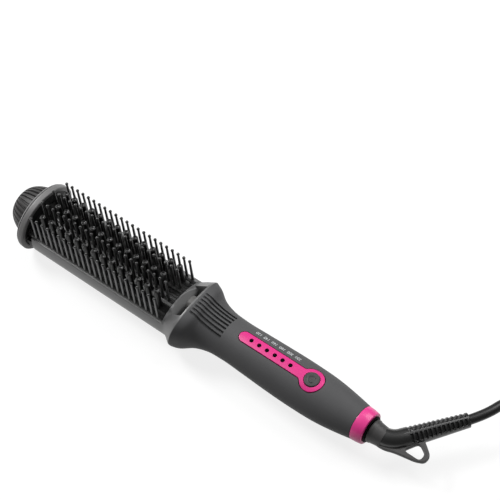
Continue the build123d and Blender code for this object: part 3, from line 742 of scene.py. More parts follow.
    @staticmethod
    def plate(name: str, outline: Sequence[Pair], holes: Sequence[Sequence[Pair]], low: float,
              high: float, bevel: float = 0.0) -> bpy.types.Object:
        """Flat plate from an outline with holes, seen from above.

        Args:
            name: piece name.
            outline: corners of the outline.
            holes: corners of each hole.
            low: height of the underside.
            high: height of the top.
            bevel: rounding of both edges.

        Returns:
            The object.
        """
        curve = bpy.data.curves.new(name, "CURVE")
        curve.dimensions = "2D"
        curve.fill_mode = "BOTH"
        for corners in [outline, *holes]:
            spline = curve.splines.new("POLY")
            spline.points.add(len(corners) - 1)
            for point, (s, y) in zip(spline.points, corners):
                point.co = (s * MM, y * MM, 0, 1)
            spline.use_cyclic_u = True
        curve.extrude = ((high - low) / 2 - bevel) * MM
        curve.bevel_depth = bevel * MM
        curve.bevel_resolution = 2
        curve.offset = -bevel * MM
        mesh = Shape.meshed(name, curve)
        mesh.transform(Matrix.Translation(Vector(part([(0, 0, (low + high) / 2)])[0])))
        Shape.weld(mesh, 1e-6)
        mesh.materials.clear()
        made = Shape.link(name, mesh)
        Shape.smooth(made, crease=40)
        return made

    @staticmethod
    def cut(target: bpy.types.Object, tool: bpy.types.Object,
            how: Cut = Cut.AWAY) -> bpy.types.Object:
        """Cut, trim or extend a piece with another, and remove that one.

        Args:
            target: piece that is changed.
            tool: closed mesh that changes it.
            how: way in which it does.

        Returns:
            The changed piece.
        """
        step = target.modifiers.new("cut", "BOOLEAN")
        step.operation = how.value
        step.solver = "EXACT"
        step.object = tool
        Shape.apply(target)
        bpy.data.objects.remove(tool)
        return target

    @staticmethod
    def apply(target: bpy.types.Object) -> None:
        """Turn a piece's modifiers into plain mesh.

        Args:
            target: the piece.
        """
        bpy.context.view_layer.update()
        graph = bpy.context.evaluated_depsgraph_get()
        mesh = bpy.data.meshes.new_from_object(target.evaluated_get(graph))
        target.modifiers.clear()
        target.data = mesh

    @staticmethod
    def bevel(target: bpy.types.Object, width: float, angle: float, segments: int) -> None:
        """Round a piece's sharp edges.

        Args:
            target: the piece.
            width: width of the rounding.
            angle: angle in degrees above which an edge is rounded.
            segments: faces across the rounding.
        """
        step = target.modifiers.new("rounding", "BEVEL")
        step.width = width * MM
        step.segments = segments
        step.limit_method = "ANGLE"
        step.angle_limit = math.radians(angle)


# ---------------------------------------------------------------- bristle head
@dataclass
class TipCap:
    """Fluted cap and the collar behind it, turned about an axis that leans back.

    Args:
        station: where the leaning axis crosses the collar's middle.
        rise: height of that point.
        lean: lean of the axis, in radians.
        length: length of the fluted dome.
        dome: powers that shape the dome's profile.
        foot_r: radius of the dome's foot.
        waist: distance of the foot from the collar's middle.
        seam: distance of the seam from the collar's middle.
        seam_r: radius that the flared foot runs up to.
        back: distance and radius of the cap's back edge, inside the collar.
        flutes: number of flutes.
        flute_depth: their depth.
        flute_points: points across a flute.
        flute_wave: cosine at which a flute starts, and the rise over which it deepens.
        flute_start: share of the dome's length where they start, and over which they deepen.
        flute_end: share of the foot's length where they end, and over which they fade.
        collar_profile: corners of the collar, as (distance, radius).
        collar_round: rounding of these corners.
    """

    station: float = CAP_STATION
    rise: float = 2.5
    lean: float = CAP_LEAN
    length: float = 14.8
    dome: Pair = (1.1, 0.27)
    foot_r: float = 18.3
    waist: float = 5.8
    seam: float = 2.3
    seam_r: float = 24.0
    back: Pair = (-4.4, 20.3)
    flutes: int = CAP_FLUTES
    flute_depth: float = 1.6
    flute_points: int = 12
    flute_wave: Pair = (0.1, 0.4)
    flute_start: Pair = (0.93, 0.05)
    flute_end: Pair = (0.43, 0.1)
    collar_profile: tuple[Pair, ...] = (
        (-4.35, 15.2), (-4.35, 21.85), (-3.7, 22.9), (-3.1, 23.6), (-2.65, 23.95), (-2.5, 22.9),
        (-2.1, 22.9), (-1.95, 24.4), (-0.9, 24.7), (1.9, 24.75), (2.4, 24.2), (2.4, 21.5),
        (-0.9, 21.5), (-0.9, 15.2))
    collar_round: float = 0.32

    def tilt(self, points: np.ndarray) -> np.ndarray:
        """Lean points back about the collar's middle, and keep them off the floor.

        Args:
            points: rows along the leaning axis, changed in place.

        Returns:
            The same rows along the handle's axis.
        """
        x, z = points[:, 0].copy(), points[:, 2].copy()
        points[:, 0] = self.station + x * math.cos(self.lean) + z * math.sin(self.lean)
        up = self.rise - x * math.sin(self.lean) + z * math.cos(self.lean)
        points[:, 2] = np.maximum(up, FLOOR)
        return points

    def profile(self) -> list[tuple[float, float, float]]:
        """Profile of the cap from its tip to its back edge.

        Returns:
            Rows of (distance, radius, share of the flutes' depth).
        """
        rows = [(-self.waist - self.length, 0.0, 0.0)]
        start, width = self.flute_start
        for share in np.concatenate([np.linspace(0.999, 0.9, 10), np.linspace(0.88, 0.0, 40)]):
            radius = self.foot_r * (1 - share ** self.dome[0]) ** self.dome[1]
            rows.append((-self.waist - share * self.length, radius, ramp(start - share, width)))
        end, width = self.flute_end
        for share in np.linspace(0.06, 0.4, 8):
            radius = self.foot_r + (self.seam_r - self.foot_r) * math.sin(share * math.pi / 2)
            rows.append((-self.waist + share * (self.waist - self.seam), radius,
                         ramp(end - share, width)))
        return rows + [(*self.back, 0.0)]

    def cap(self) -> bpy.types.Object:
        """Dome with its flutes and flared foot.

        Returns:
            The piece.
        """
        angles = around(self.flutes * self.flute_points)
        dip = ramp(np.cos(angles * self.flutes) - self.flute_wave[0], self.flute_wave[1])
        rings = []
        for s, r, depth in self.profile():
            radius = np.maximum(r - self.flute_depth * depth * dip, 0.0)
            rings.append(ring(s, radius * np.cos(angles), radius * np.sin(angles)))
        points, faces = Shape.skin(rings)
        return Shape.piece("tip_cap_fluted", self.tilt(points), faces, crease=40)

    def collar(self) -> bpy.types.Object:
        """Satin collar with rounded edges and its bore."""
        corners = Shape.rounded(self.collar_profile, self.collar_round, ends=True)
        return Shape.turned("tip_collar_ring", corners, sides=180, move=self.tilt, loop=True)

    def build(self) -> None:
        """Build, dress and place cap and collar."""
        Finish.CAP.place(self.cap(), Body.HANDLE, "cap_grey", "tip_cap")
        Finish.COLLAR.place(self.collar(), Body.HANDLE, "collar_silver", "tip_collar")


@dataclass(frozen=True)
class Strips:
    """Strips of bristles that are made alike.

    Args:
        piece: start of the pieces' names.
        node: start of the names of the nodes that they replace.
        slot: material slot.
        finish: finish.
        rows: place of each strip across the brush.
        width: width of a strip's base.
        count: bristles on a strip.
        first: distance of the first bristle from the plate's start.
        pitch: distance between bristles.
        sides: points round a bristle.
        short_row: strip that starts half a pitch later, with one bristle less.
    """

    piece: str
    node: str
    slot: str
    finish: Finish
    rows: tuple[float, ...]
    width: float
    count: int
    first: float
    pitch: float
    sides: int
    short_row: int | None = None


@dataclass
class BristleBed:
    """Strips of ball-tipped pins and of thick round-topped teeth on the arched plate.

    Args:
        plate_start: station of the heated plate's front end.
        length: length of the plate.
        arch_r: radius of the plate's arch.
        plate_top: height of the plate's middle.
        slot_depth: depth of the slots that the inner strips stand in.
        edge_strip: inner and outer side of the strips at the plate's edges.
        strip_round: rounding of a strip's top edges.
        pins: the strips of pins.
        pin_len: height of the pins over the plate.
        pin_foot: lower part of a pin, as (radius, height).
        neck: radius under the ball, and its distance from the tip.
        ball_r: radius of a pin's ball.
        teeth: the strips of teeth.
        tooth_len: height of the teeth over the plate.
        tooth_r: radius of a tooth.
        tooth_foot: lower part of a tooth, as (widening, height).
        rim_r: rounding of a tooth's rim.
        dish: dished top of a tooth, as (radius, depth).
    """

    plate_start: float = 27.3
    length: float = 117.0
    arch_r: float = 32.6
    plate_top: float = 12.2
    slot_depth: float = 2.6
    edge_strip: Pair = (15.9, 18.5)
    strip_round: float = 0.35
    pins: Strips = Strips(
        piece="pin_row", node="pin_strip", slot="pin_black", finish=Finish.PIN,
        rows=(-17.3, -5.6, 5.6, 17.3), width=2.6, count=23, first=7.6, pitch=4.8, sides=14)
    pin_len: float = 21.2
    pin_foot: tuple[Pair, ...] = ((1.1, -0.9), (1.1, 0.2), (1.0, 0.6), (0.93, 6.0), (0.84, 13.0))
    neck: Pair = (0.74, 2.3)
    ball_r: float = 1.12
    teeth: Strips = Strips(
        piece="tooth_row", node="tooth_strip", slot="tooth_black", finish=Finish.TOOTH,
        rows=(-11.45, 0.0, 11.45), width=4.6, count=14, first=12.2, pitch=7.5, sides=20,
        short_row=1)
    tooth_len: float = 16.2
    tooth_r: float = 1.95
    tooth_foot: tuple[Pair, ...] = ((0.15, -0.9), (0.1, 0.3), (0.0, 1.0))
    rim_r: float = 0.42
    dish: tuple[Pair, ...] = ((1.3, 0.06), (1.1, 0.3), (0.9, 0.5), (0.5, 0.6), (0.1, 0.62))

    def arch(self, y: float) -> float:
        """Height of the arched plate at y."""
        return self.plate_top - self.arch_r + math.sqrt(self.arch_r ** 2 - y ** 2)

    def base(self, y: float, width: float) -> Form:
        """Long base of a strip.

        Args:
            y: place across the brush.
            width: width of a base that stands in a slot.

        Returns:
            Its points and faces.
        """
        at_edge = abs(y) > self.edge_strip[0]
        inner, outer = (self.edge_strip if at_edge
                        else (abs(y) - width / 2, abs(y) + width / 2))
        side = -1 if y < 0 else 1
        low = RAIL_TOP if at_edge else self.arch(outer) - self.slot_depth
        soft = self.strip_round
        section = [(inner, low), (outer, low), (outer, self.arch(outer) - soft),
                   (outer - soft, self.arch(outer - soft)),
                   (inner + soft, self.arch(inner + soft)), (inner, self.arch(inner) - soft)]
        return Shape.skin([np.array([(s, side * a, z) for a, z in section])
                           for s in (self.plate_start, self.plate_start + self.length)])

    def pin_profile(self) -> list[Pair]:
        """Profile of a pin from its foot to its ball tip, as (radius, height).

        Returns:
            The profile.
        """
        turn = np.radians(np.linspace(-52, 88, 9))
        ball = [(self.ball_r * math.cos(a), self.pin_len - self.ball_r + self.ball_r * math.sin(a))
                for a in turn]
        return [*self.pin_foot, (self.neck[0], self.pin_len - self.neck[1]), *ball]

    def tooth_profile(self) -> list[Pair]:
        """Profile of a tooth from its foot to its dished top, as (radius, height).

        Returns:
            The profile.
        """
        foot = [(self.tooth_r + wider, z) for wider, z in self.tooth_foot]
        rim = [(self.tooth_r - self.rim_r + self.rim_r * math.cos(a),
                self.tooth_len - self.rim_r + self.rim_r * math.sin(a))
               for a in np.radians(np.linspace(0, 90, 7))]
        return foot + rim + [(r, self.tooth_len - depth) for r, depth in self.dish]

    def place(self, strips: Strips, profile: list[Pair]) -> None:
        """Build, dress and place the strips of one kind.

        Args:
            strips: the kind.
            profile: profile of one bristle, as (radius, height over the plate).
        """
        for k, y in enumerate(strips.rows):
            short = k == strips.short_row
            first = strips.first + (strips.pitch / 2 if short else 0.0)
            top = self.arch(abs(y))
            points, quads = Shape.stood(0.0, y, [(r, top + h) for r, h in profile], strips.sides)
            places = [self.plate_start + first + i * strips.pitch
                      for i in range(strips.count - short)]
            form = Shape.merged([self.base(y, strips.width),
                                 *[(points + np.array([s, 0, 0]), quads) for s in places]])
            strip = Shape.piece(f"{strips.piece}_{k + 1}", *form, crease=50)
            strips.finish.place(strip, Body.HANDLE, strips.slot, f"{strips.node}_{k + 1}")

    def build(self) -> None:
        """Build, dress and place all seven strips."""
        self.place(self.pins, self.pin_profile())
        self.place(self.teeth, self.tooth_profile())


# ---------------------------------------------------------------- handle
# Rows of (station, lean, half width, half height, rise, squareness).
HANDLE_ROWS = np.array([
    (CREST, 0.25, 24.7, 20.4, 0.2, 2.6),
    (160.0, 0.22, 22.4, 20.3, -0.5, 2.5),
    (167.5, 0.10, 18.2, 16.8, 0.7, 2.2),
    (176.5, 0.0, 15.6, 14.4, 1.1, 2.0),
    (188.0, 0.0, 14.6, 13.7, 0.9, 2.0),
    (204.0, 0.0, 14.9, 14.3, 0.6, 2.0),
    (222.0, 0.0, 15.5, 14.9, 0.2, 2.0),
    (242.0, 0.0, 15.8, 15.1, 0.0, 2.0),
    (262.0, 0.0, 15.1, 14.5, -0.1, 2.0),
    (276.0, 0.0, 13.3, 13.0, -0.1, 2.0),
    (286.0, 0.0, 11.6, 11.5, 0.0, 2.0),
])


@dataclass(frozen=True)
class Keyhole:
    """Outline of the control strip, a bar that ends in a ring.

    Args:
        bar_start: station of the bar's round end.
        bar_half_w: half of the bar's width.
        button: station of the button's middle.
        ring_r: outer radius of the ring.
        fillet: length of the fillets between bar and ring.
    """

    bar_start: float = 194.2
    bar_half_w: float = 3.7
    button: float = 250.0
    ring_r: float = 7.9
    fillet: float = 1.4

    def outline(self, grow: float) -> list[Pair]:
        """Corners of the outline.

        Args:
            grow: how far it is grown outwards.

        Returns:
            The corners.
        """
        half, outer = self.bar_half_w + grow, self.ring_r + grow
        meet = math.degrees(math.asin(half / outer))
        left = self.button - outer * math.cos(math.radians(meet))
        corner = [(left - self.fillet, -half), (left - 0.35 * self.fillet, -half - 0.12),
                  (left + 0.1, -half - 0.5)]
        return (circle(self.bar_start + self.bar_half_w, 0, half, 25, 90, 270) + corner
                + circle(self.button, 0, outer, 61, 180 + meet + 5, 540 - meet - 5)
                + [(x, -y) for x, y in reversed(corner)])


@dataclass
class Handle:
    """Two handle shells with the grooves, the control strip's pocket, and the seam between.

    Args:
        seam: height of the seam between the shells.
        seam_inside: how far the seam's faces reach inwards, as a share of the half width.
        groove_count: number of grooves.
        groove_pitch: distance between them.
        groove_w: width of one.
        groove_wall: width over which a groove's wall falls.
        groove_start: station where they start.
        groove_end: station where they end.
        groove_depth: depth at their start and at their end.
        groove_entry: steepness of their first fall.
        crest_round: rounding of the front edge on top, and what is added to it low down.
        crest_below: height at which that starts, and the drop over which it comes in.
        end_inset: inset of the last ring.
        keyhole: outline of the control strip.
        pocket_floor: height of the floor of its pocket.
        pocket_gap: gap round the strip.
    """

    seam: float = 1.2
    seam_inside: float = 0.4
    groove_count: int = 7
    groove_pitch: float = 2.7
    groove_w: float = 1.45
    groove_wall: float = 0.16
    groove_start: float = 155.5
    groove_end: float = 184.8
    groove_depth: Pair = (1.15, 2.5)
    groove_entry: float = 14.0
    crest_round: Pair = (1.2, 4.0)
    crest_below: Pair = (4.0, 16.0)
    end_inset: float = 0.25
    keyhole: Keyhole = Keyhole()
    pocket_floor: float = 12.2
    pocket_gap: float = 0.55

    def section(self, station: float) -> np.ndarray:
        """Lean, half width, half height, rise and squareness at a station."""
        return hermite(HANDLE_ROWS, np.array([station]))[0]

    def height(self, stations: np.ndarray, y: np.ndarray) -> np.ndarray:
        """Height of the top surface at places along and across the handle."""
        _, half_w, half_h, rise, power = hermite(HANDLE_ROWS, stations).T
        return rise + crown(y, half_w, half_h, power)

    def top(self, station: float) -> float:
        """Height of the top surface on the middle line."""
        return float(self.height(np.array([station]), np.zeros(1))[0])

    def groove_drop(self, s: float, y: np.ndarray) -> np.ndarray:
        """Depth of the grooves below the surface.

        Args:
            s: station.
            y: places across the handle.

        Returns:
            The depth at each place.
        """
        along = (s - self.groove_start) / (self.groove_end - self.groove_start)
        if along <= 0 or along > 1.0:
            return np.zeros_like(y)
        shallow, deep = self.groove_depth
        depth = min(1.0, self.groove_entry * along) * (shallow + (deep - shallow) * along)
        nearest = np.round(y / self.groove_pitch) * self.groove_pitch
        inside = np.abs(nearest) <= (self.groove_count - 1) / 2 * self.groove_pitch + 0.01
        wall = ramp(self.groove_w / 2 + 0.06 - np.abs(y - nearest), self.groove_wall)
        return depth * wall * inside

    def columns(self) -> np.ndarray:
        """Places of the points across the top, close together at each groove's walls.

        Returns:
            The places.
        """
        marks: list[float] = []
        for k in range(self.groove_count):
            middle = (k - (self.groove_count - 1) / 2) * self.groove_pitch
            marks += [middle + d for d in (-1.0, -0.8, -0.7, -0.6, -0.3, 0.0, 0.3, 0.6, 0.7, 0.8,
                                           1.0, 1.35)]
        return np.array(marks[:-1])

    def stations(self) -> np.ndarray:
        """Stations of the rings, close together where the grooves start and end.

        Returns:
            The stations.
        """
        return np.concatenate([
            [CREST, 154.1, 154.25, 154.45, 154.7, 155.0, 155.3, 155.48, 155.75, 156.1, 156.5],
            np.linspace(157.0, 184.0, 44), [184.5, 184.75, 184.85, 185.1, 185.6],
            np.linspace(186.5, 285.4, 74), [285.8, HANDLE_ROWS[-1][0]]])

    def crest_inset(self, along: np.ndarray | float, z: np.ndarray) -> np.ndarray:
        """Rounding of the front edge, fine on top and wide near the floor.

        Args:
            along: distance from the front edge.
            z: heights round the section.

        Returns:
            How far the surface lies inside at each height.
        """
        start, width = self.crest_below
        radius = self.crest_round[0] + self.crest_round[1] * ramp(start - z, width)
        left = np.clip(1 - along / (0.46 * radius), 0, None)
        return 0.12 * radius * left ** 2

    def half(self, upper: bool) -> bpy.types.Object:
        """One shell as a closed solid with rounded end edges.

        Args:
            upper: the top shell, otherwise the bottom one.

        Returns:
            The object.
        """
        inner = self.columns()
        rings = []
        for s in self.stations():
            lean, half_w, half_h, rise, power = self.section(s)
            edge = (self.seam - rise) / half_h if upper else (rise - self.seam) / half_h
            start = math.asin(np.clip(abs(edge), 0, 1) ** (power / 2)) * (1 if edge > 0 else -1)
            stop = math.acos(np.clip(inner[-1] / half_w, 0, 1) ** (power / 2))
            side_y, side_z = oval(np.linspace(start, stop, 24)[:-1], half_w, half_h, power)
            top_z = crown(inner, half_w, half_h, power)
            if upper:
                top_z = top_z - self.groove_drop(s, inner)
            y = np.concatenate([side_y, inner[::-1], -side_y[::-1]])
            z = np.concatenate([side_z, top_z[::-1], side_z[::-1]])
            z = rise + (z if upper else -z)
            at_end = s > HANDLE_ROWS[-1][0] - 0.1
            inset = self.crest_inset(s - CREST, z) + (self.end_inset if at_end else 0.0)
            y, z = shrink(y, z, inset)
            reach = half_w * self.seam_inside
            y = np.concatenate([[reach], y, [-reach]])
            z = np.concatenate([[self.seam], np.maximum(z, FLOOR), [self.seam]])
            x = s + lean * (z - rise)
            z = np.maximum(z, self.seam) if upper else np.minimum(z, self.seam)
            rings.append(ring(x, y, z))
        name = "handle_top" if upper else "handle_bottom"
        return Shape.piece(name, *Shape.skin(rings), crease=34)

    def build(self) -> None:
        """Build, dress and place both shells."""
        top = self.half(True)
        pocket, above = self.keyhole.outline(self.pocket_gap), 22.0
        Shape.cut(top, Shape.plate("pocket", pocket, [], self.pocket_floor, above))
        Shape.smooth(top, crease=34)
        Finish.HOUSING.place(top, Body.HANDLE, "body_grey", "handle_top_shell")
        Finish.HOUSING.place(self.half(False), Body.HANDLE, "body_grey", "handle_bottom_shell")


@dataclass
class HeadFrame:
    """Grey moulding round the bed: two side rails, the sloped end wall and the flared shoulder.

    Args:
        rail_start: station where the rails start.
        rail_end: station where they end, and the end wall starts.
        rail_edge: height of the rails' rounded top part.
        rail_round: rounding of their top edges.
        barrel_r: outer radius of the barrel.
        bore_r: its inner radius.
        bore_floor: thickness of its flat underside.
        barrel_rise: height of its middle.
        shoulder_start: station where the flare starts.
        flare_power: how late the flare opens.
        crest_lean: lean of the crest.
        rim: width of the crest's rim, behind the scoop.
        scoop_start: station where the scoop starts.
        ramp_power: how late its ramps rise.
        pocket_floor: height of the pocket's floor on the middle line.
        pocket_hollow: its rise across, for each square millimetre of distance.
        pocket_half_w: half of the pocket's width.
        pocket_wall: width of its side walls.
        wall_half_w: half of the end wall's width.
        wall_top: height of its front.
        wall_low: height of its back.
        wall_foot: height of its foot, inside the barrel.
        wall_depth: its length along the brush.
        wall_flat: flat length at its front.
        wall_round: rounding of its front and back edges.
        nozzle_steps: rings of the nozzle, as (station, inset).
        nozzle_half_w: half of its width.
        nozzle_rise: height of its foot.
        nozzle_h: height of its arch.
        mouth_r: radius of its mouth.
        mouth_rise: height of the mouth's middle.
        mouth_end: station of the mouth's floor.
    """

    rail_start: float = 32.1
    rail_end: float = 144.3
    rail_edge: float = 1.3
    rail_round: float = 0.55
    barrel_r: float = 20.7
    bore_r: float = 18.9
    bore_floor: float = 1.8
    barrel_rise: float = -0.6
    shoulder_start: float = 146.4
    flare_power: float = 1.2
    crest_lean: float = 0.25
    rim: float = 1.1
    scoop_start: float = 145.2
    ramp_power: float = 1.3
    pocket_floor: float = 3.2
    pocket_hollow: float = 0.014
    pocket_half_w: float = 12.0
    pocket_wall: float = 1.3
    wall_half_w: float = 19.2
    wall_top: float = 12.2
    wall_low: float = 8.4
    wall_foot: float = 2.7
    wall_depth: float = 5.7
    wall_flat: float = 0.8
    wall_round: float = 0.6
    nozzle_steps: tuple[Pair, ...] = ((153.45, 1.2), (153.5, 0.85), (153.7, 0.5), (154.05, 0.2),
                                      (154.6, 0.0), (162.6, 0.0))
    nozzle_half_w: float = 4.7
    nozzle_rise: float = 13.4
    nozzle_h: float = 5.2
    mouth_r: float = 1.7
    mouth_rise: float = 16.0
    mouth_end: float = 156.9

    def rails(self) -> bpy.types.Object:
        """Open barrel with its two rails, whose top edges are rounded.

        Returns:
            The object.
        """
        rise, low = self.barrel_rise, RAIL_TOP - self.rail_edge
        start = math.degrees(math.asin((low - rise) / self.barrel_r))
        begin = math.degrees(math.asin((low - rise) / self.bore_r))
        outer = [(y, max(z, FLOOR))
                 for y, z in circle(0, rise, self.barrel_r, 90, start, -180 - start)]
        inner = [(y, max(z, FLOOR + self.bore_floor))
                 for y, z in circle(0, rise, self.bore_r, 90, -180 - begin, begin)]
        out_y, in_y = (math.sqrt(r ** 2 - (RAIL_TOP - rise) ** 2)
                       for r in (self.barrel_r, self.bore_r))
        edge = Shape.rounded([outer[-1], (-out_y, RAIL_TOP), (-in_y, RAIL_TOP), inner[0]],
                             self.rail_round)[1:-1]
        loop = outer + edge + inner + [(-y, z) for y, z in reversed(edge)]
        rings = [np.array([(s, y, z) for y, z in loop]) for s in (self.rail_start, self.rail_end)]
        return Shape.piece("rails", *Shape.skin(rings), crease=35)

    def shoulder(self, handle: Handle) -> bpy.types.Object:
        """Solid end of the barrel and the flare up to the crest, before the scoop.

        Args:
            handle: gives the crest's section.

        Returns:
            The object.
        """
        corner = math.degrees(math.asin((RAIL_TOP - self.barrel_rise) / self.barrel_r))
        degrees = np.sort(np.concatenate([np.arange(0, 360, 2.0), [corner, 180 - corner]]))
        angles = np.radians(degrees)
        round_y = self.barrel_r * np.cos(angles)
        round_z = self.barrel_rise + self.barrel_r * np.sin(angles)
        _, half_w, half_h, rise, power = handle.section(CREST)
        crest_y, crest_z = oval(angles, half_w, half_h, power)
        crest_z = rise + crest_z
        crest_x = CREST + self.crest_lean * (crest_z - rise)
        cut_z = np.maximum(np.minimum(round_z, RAIL_TOP), FLOOR)
        rings = [ring(s, round_y, cut_z) for s in (self.rail_end, self.shoulder_start)]
        for u in (0.0, 0.12, 0.25, 0.38, 0.5, 0.6, 0.7, 0.78, 0.85, 0.91, 0.96, 1.0):
            share = u ** self.flare_power
            y = (1 - share) * round_y + share * crest_y
            z = (1 - share) * round_z + share * crest_z
            if u > 0.5:
                left = (1 - u) * (crest_x - self.shoulder_start)
                y, z = shrink(y, z, handle.crest_inset(left, z))
            x = (1 - u) * self.shoulder_start + u * crest_x
            rings.append(ring(x, y, np.maximum(z, FLOOR)))
        return Shape.piece("head_frame_shell", *Shape.skin(rings), crease=35)

    def scoop(self, handle: Handle, bed: BristleBed) -> bpy.types.Object:
        """Tool that shapes the flare: a deep pocket, and a ramp up to the crest at each side.

        Args:
            handle: gives the crest's section.
            bed: gives the arch that the ramps start from.

        Returns:
            The tool.
        """
        _, half_w, half_h, rise, power = handle.section(CREST)
        across = np.concatenate([np.linspace(0, 11.6, 9),
                                 [12.0, 12.3, 12.6, 12.9, 13.3, 13.8, 14.6],
                                 np.linspace(15.6, 26.0, 14)])
        pocket = self.pocket_floor + self.pocket_hollow * across ** 2
        arch_edge, above = 19.7, 60.0
        low = np.array([max(bed.arch(float(min(y, arch_edge))), RAIL_TOP) for y in across])
        high = rise + crown(across, half_w, half_h, power)
        side = ramp(across - self.pocket_half_w, self.pocket_wall)
        side = side * side * (3 - 2 * side)
        y = np.concatenate([across, [across[-1], -across[-1]], -across[:0:-1]])
        rings = []
        for u in (0.0, 0.15, 0.3, 0.45, 0.6, 0.75, 0.88, 1.0):
            share = u ** self.ramp_power
            z = (1 - side) * pocket + side * ((1 - share) * low + share * high)
            z = np.concatenate([z, [above, above], z[:0:-1]])
            back = CREST + self.crest_lean * (z - rise) - self.rim
            rings.append(ring((1 - u) * self.scoop_start + u * back, y, z))
        return Shape.piece("scoop", *Shape.skin(rings))

    def end_wall(self, bed: BristleBed) -> bpy.types.Object:
        """Sloped crescent behind the heated plate, with soft front and back edges.

        Args:
            bed: gives the arch that its top follows.

        Returns:
            The object.
        """
        depth, soft, flat = self.wall_depth, self.wall_round, self.wall_flat
        along = np.concatenate([[0, 0.04, 0.12, 0.25, 0.45, 0.7],
                                np.linspace(0.95, depth - 0.75, 16),
                                [depth - d for d in (0.5, 0.3, 0.16, 0.06, 0)]])
        fall = np.clip(along - flat, 0, None) * (self.wall_top - self.wall_low) / (depth - flat)
        front, back = np.clip(soft - along, 0, None), np.clip(soft - (depth - along), 0, None)
        drop = (soft - np.sqrt(soft ** 2 - front ** 2)
                + soft - np.sqrt(soft ** 2 - back ** 2))
        rings = []
        for y in np.linspace(-self.wall_half_w, self.wall_half_w, 97):
            z = np.minimum(self.wall_top - fall, bed.arch(float(y))) - drop
            x = self.rail_end + np.concatenate([along, [depth, 0.0]])
            rings.append(ring(x, y, np.concatenate([z, [self.wall_foot] * 2])))
        return Shape.piece("end_wall", *Shape.skin(rings))

    def nozzle(self) -> bpy.types.Object:
        """Rounded nozzle with its round mouth.

        Returns:
            The object.
        """
        turn = np.linspace(0, math.pi, 33)
        rings = []
        for s, inset in self.nozzle_steps:
            y, z = oval(turn, self.nozzle_half_w - inset, self.nozzle_h - 2 * inset, 8 / 3)
            rings.append(ring(s, y, self.nozzle_rise + inset + z))
        made = Shape.piece("nozzle_mouthpiece", *Shape.skin(rings), crease=35)
        front, end, lift = 150.0, self.mouth_end, np.array([0, 0, self.mouth_rise])
        corners = [(front, 0.0), (front, self.mouth_r), (end, self.mouth_r), (end, 0.0)]
        mouth = Shape.turned("mouth", corners, sides=40, move=lambda points: points + lift)
        return Shape.cut(made, mouth)

    def build(self, handle: Handle, bed: BristleBed) -> None:
        """Build, dress and place frame and nozzle.

        Args:
            handle: gives the crest's section.
            bed: gives the arch that the end wall follows.
        """
        made = self.shoulder(handle)
        Shape.cut(made, self.scoop(handle, bed))
        Shape.cut(made, self.end_wall(bed), Cut.TOGETHER)
        rails = self.rails()
        body = bmesh.new()
        body.from_mesh(made.data)
        body.from_mesh(rails.data)
        body.to_mesh(made.data)
        body.free()
        bpy.data.objects.remove(rails)
        nozzle = self.nozzle()
        Shape.smooth(made, crease=35)
        Shape.smooth(nozzle, crease=35)
        Finish.FRAME.place(made, Body.HANDLE, "body_grey", "head_frame")
        Finish.NOZZLE.place(nozzle, Body.HANDLE, "nozzle_grey", "ion_nozzle")


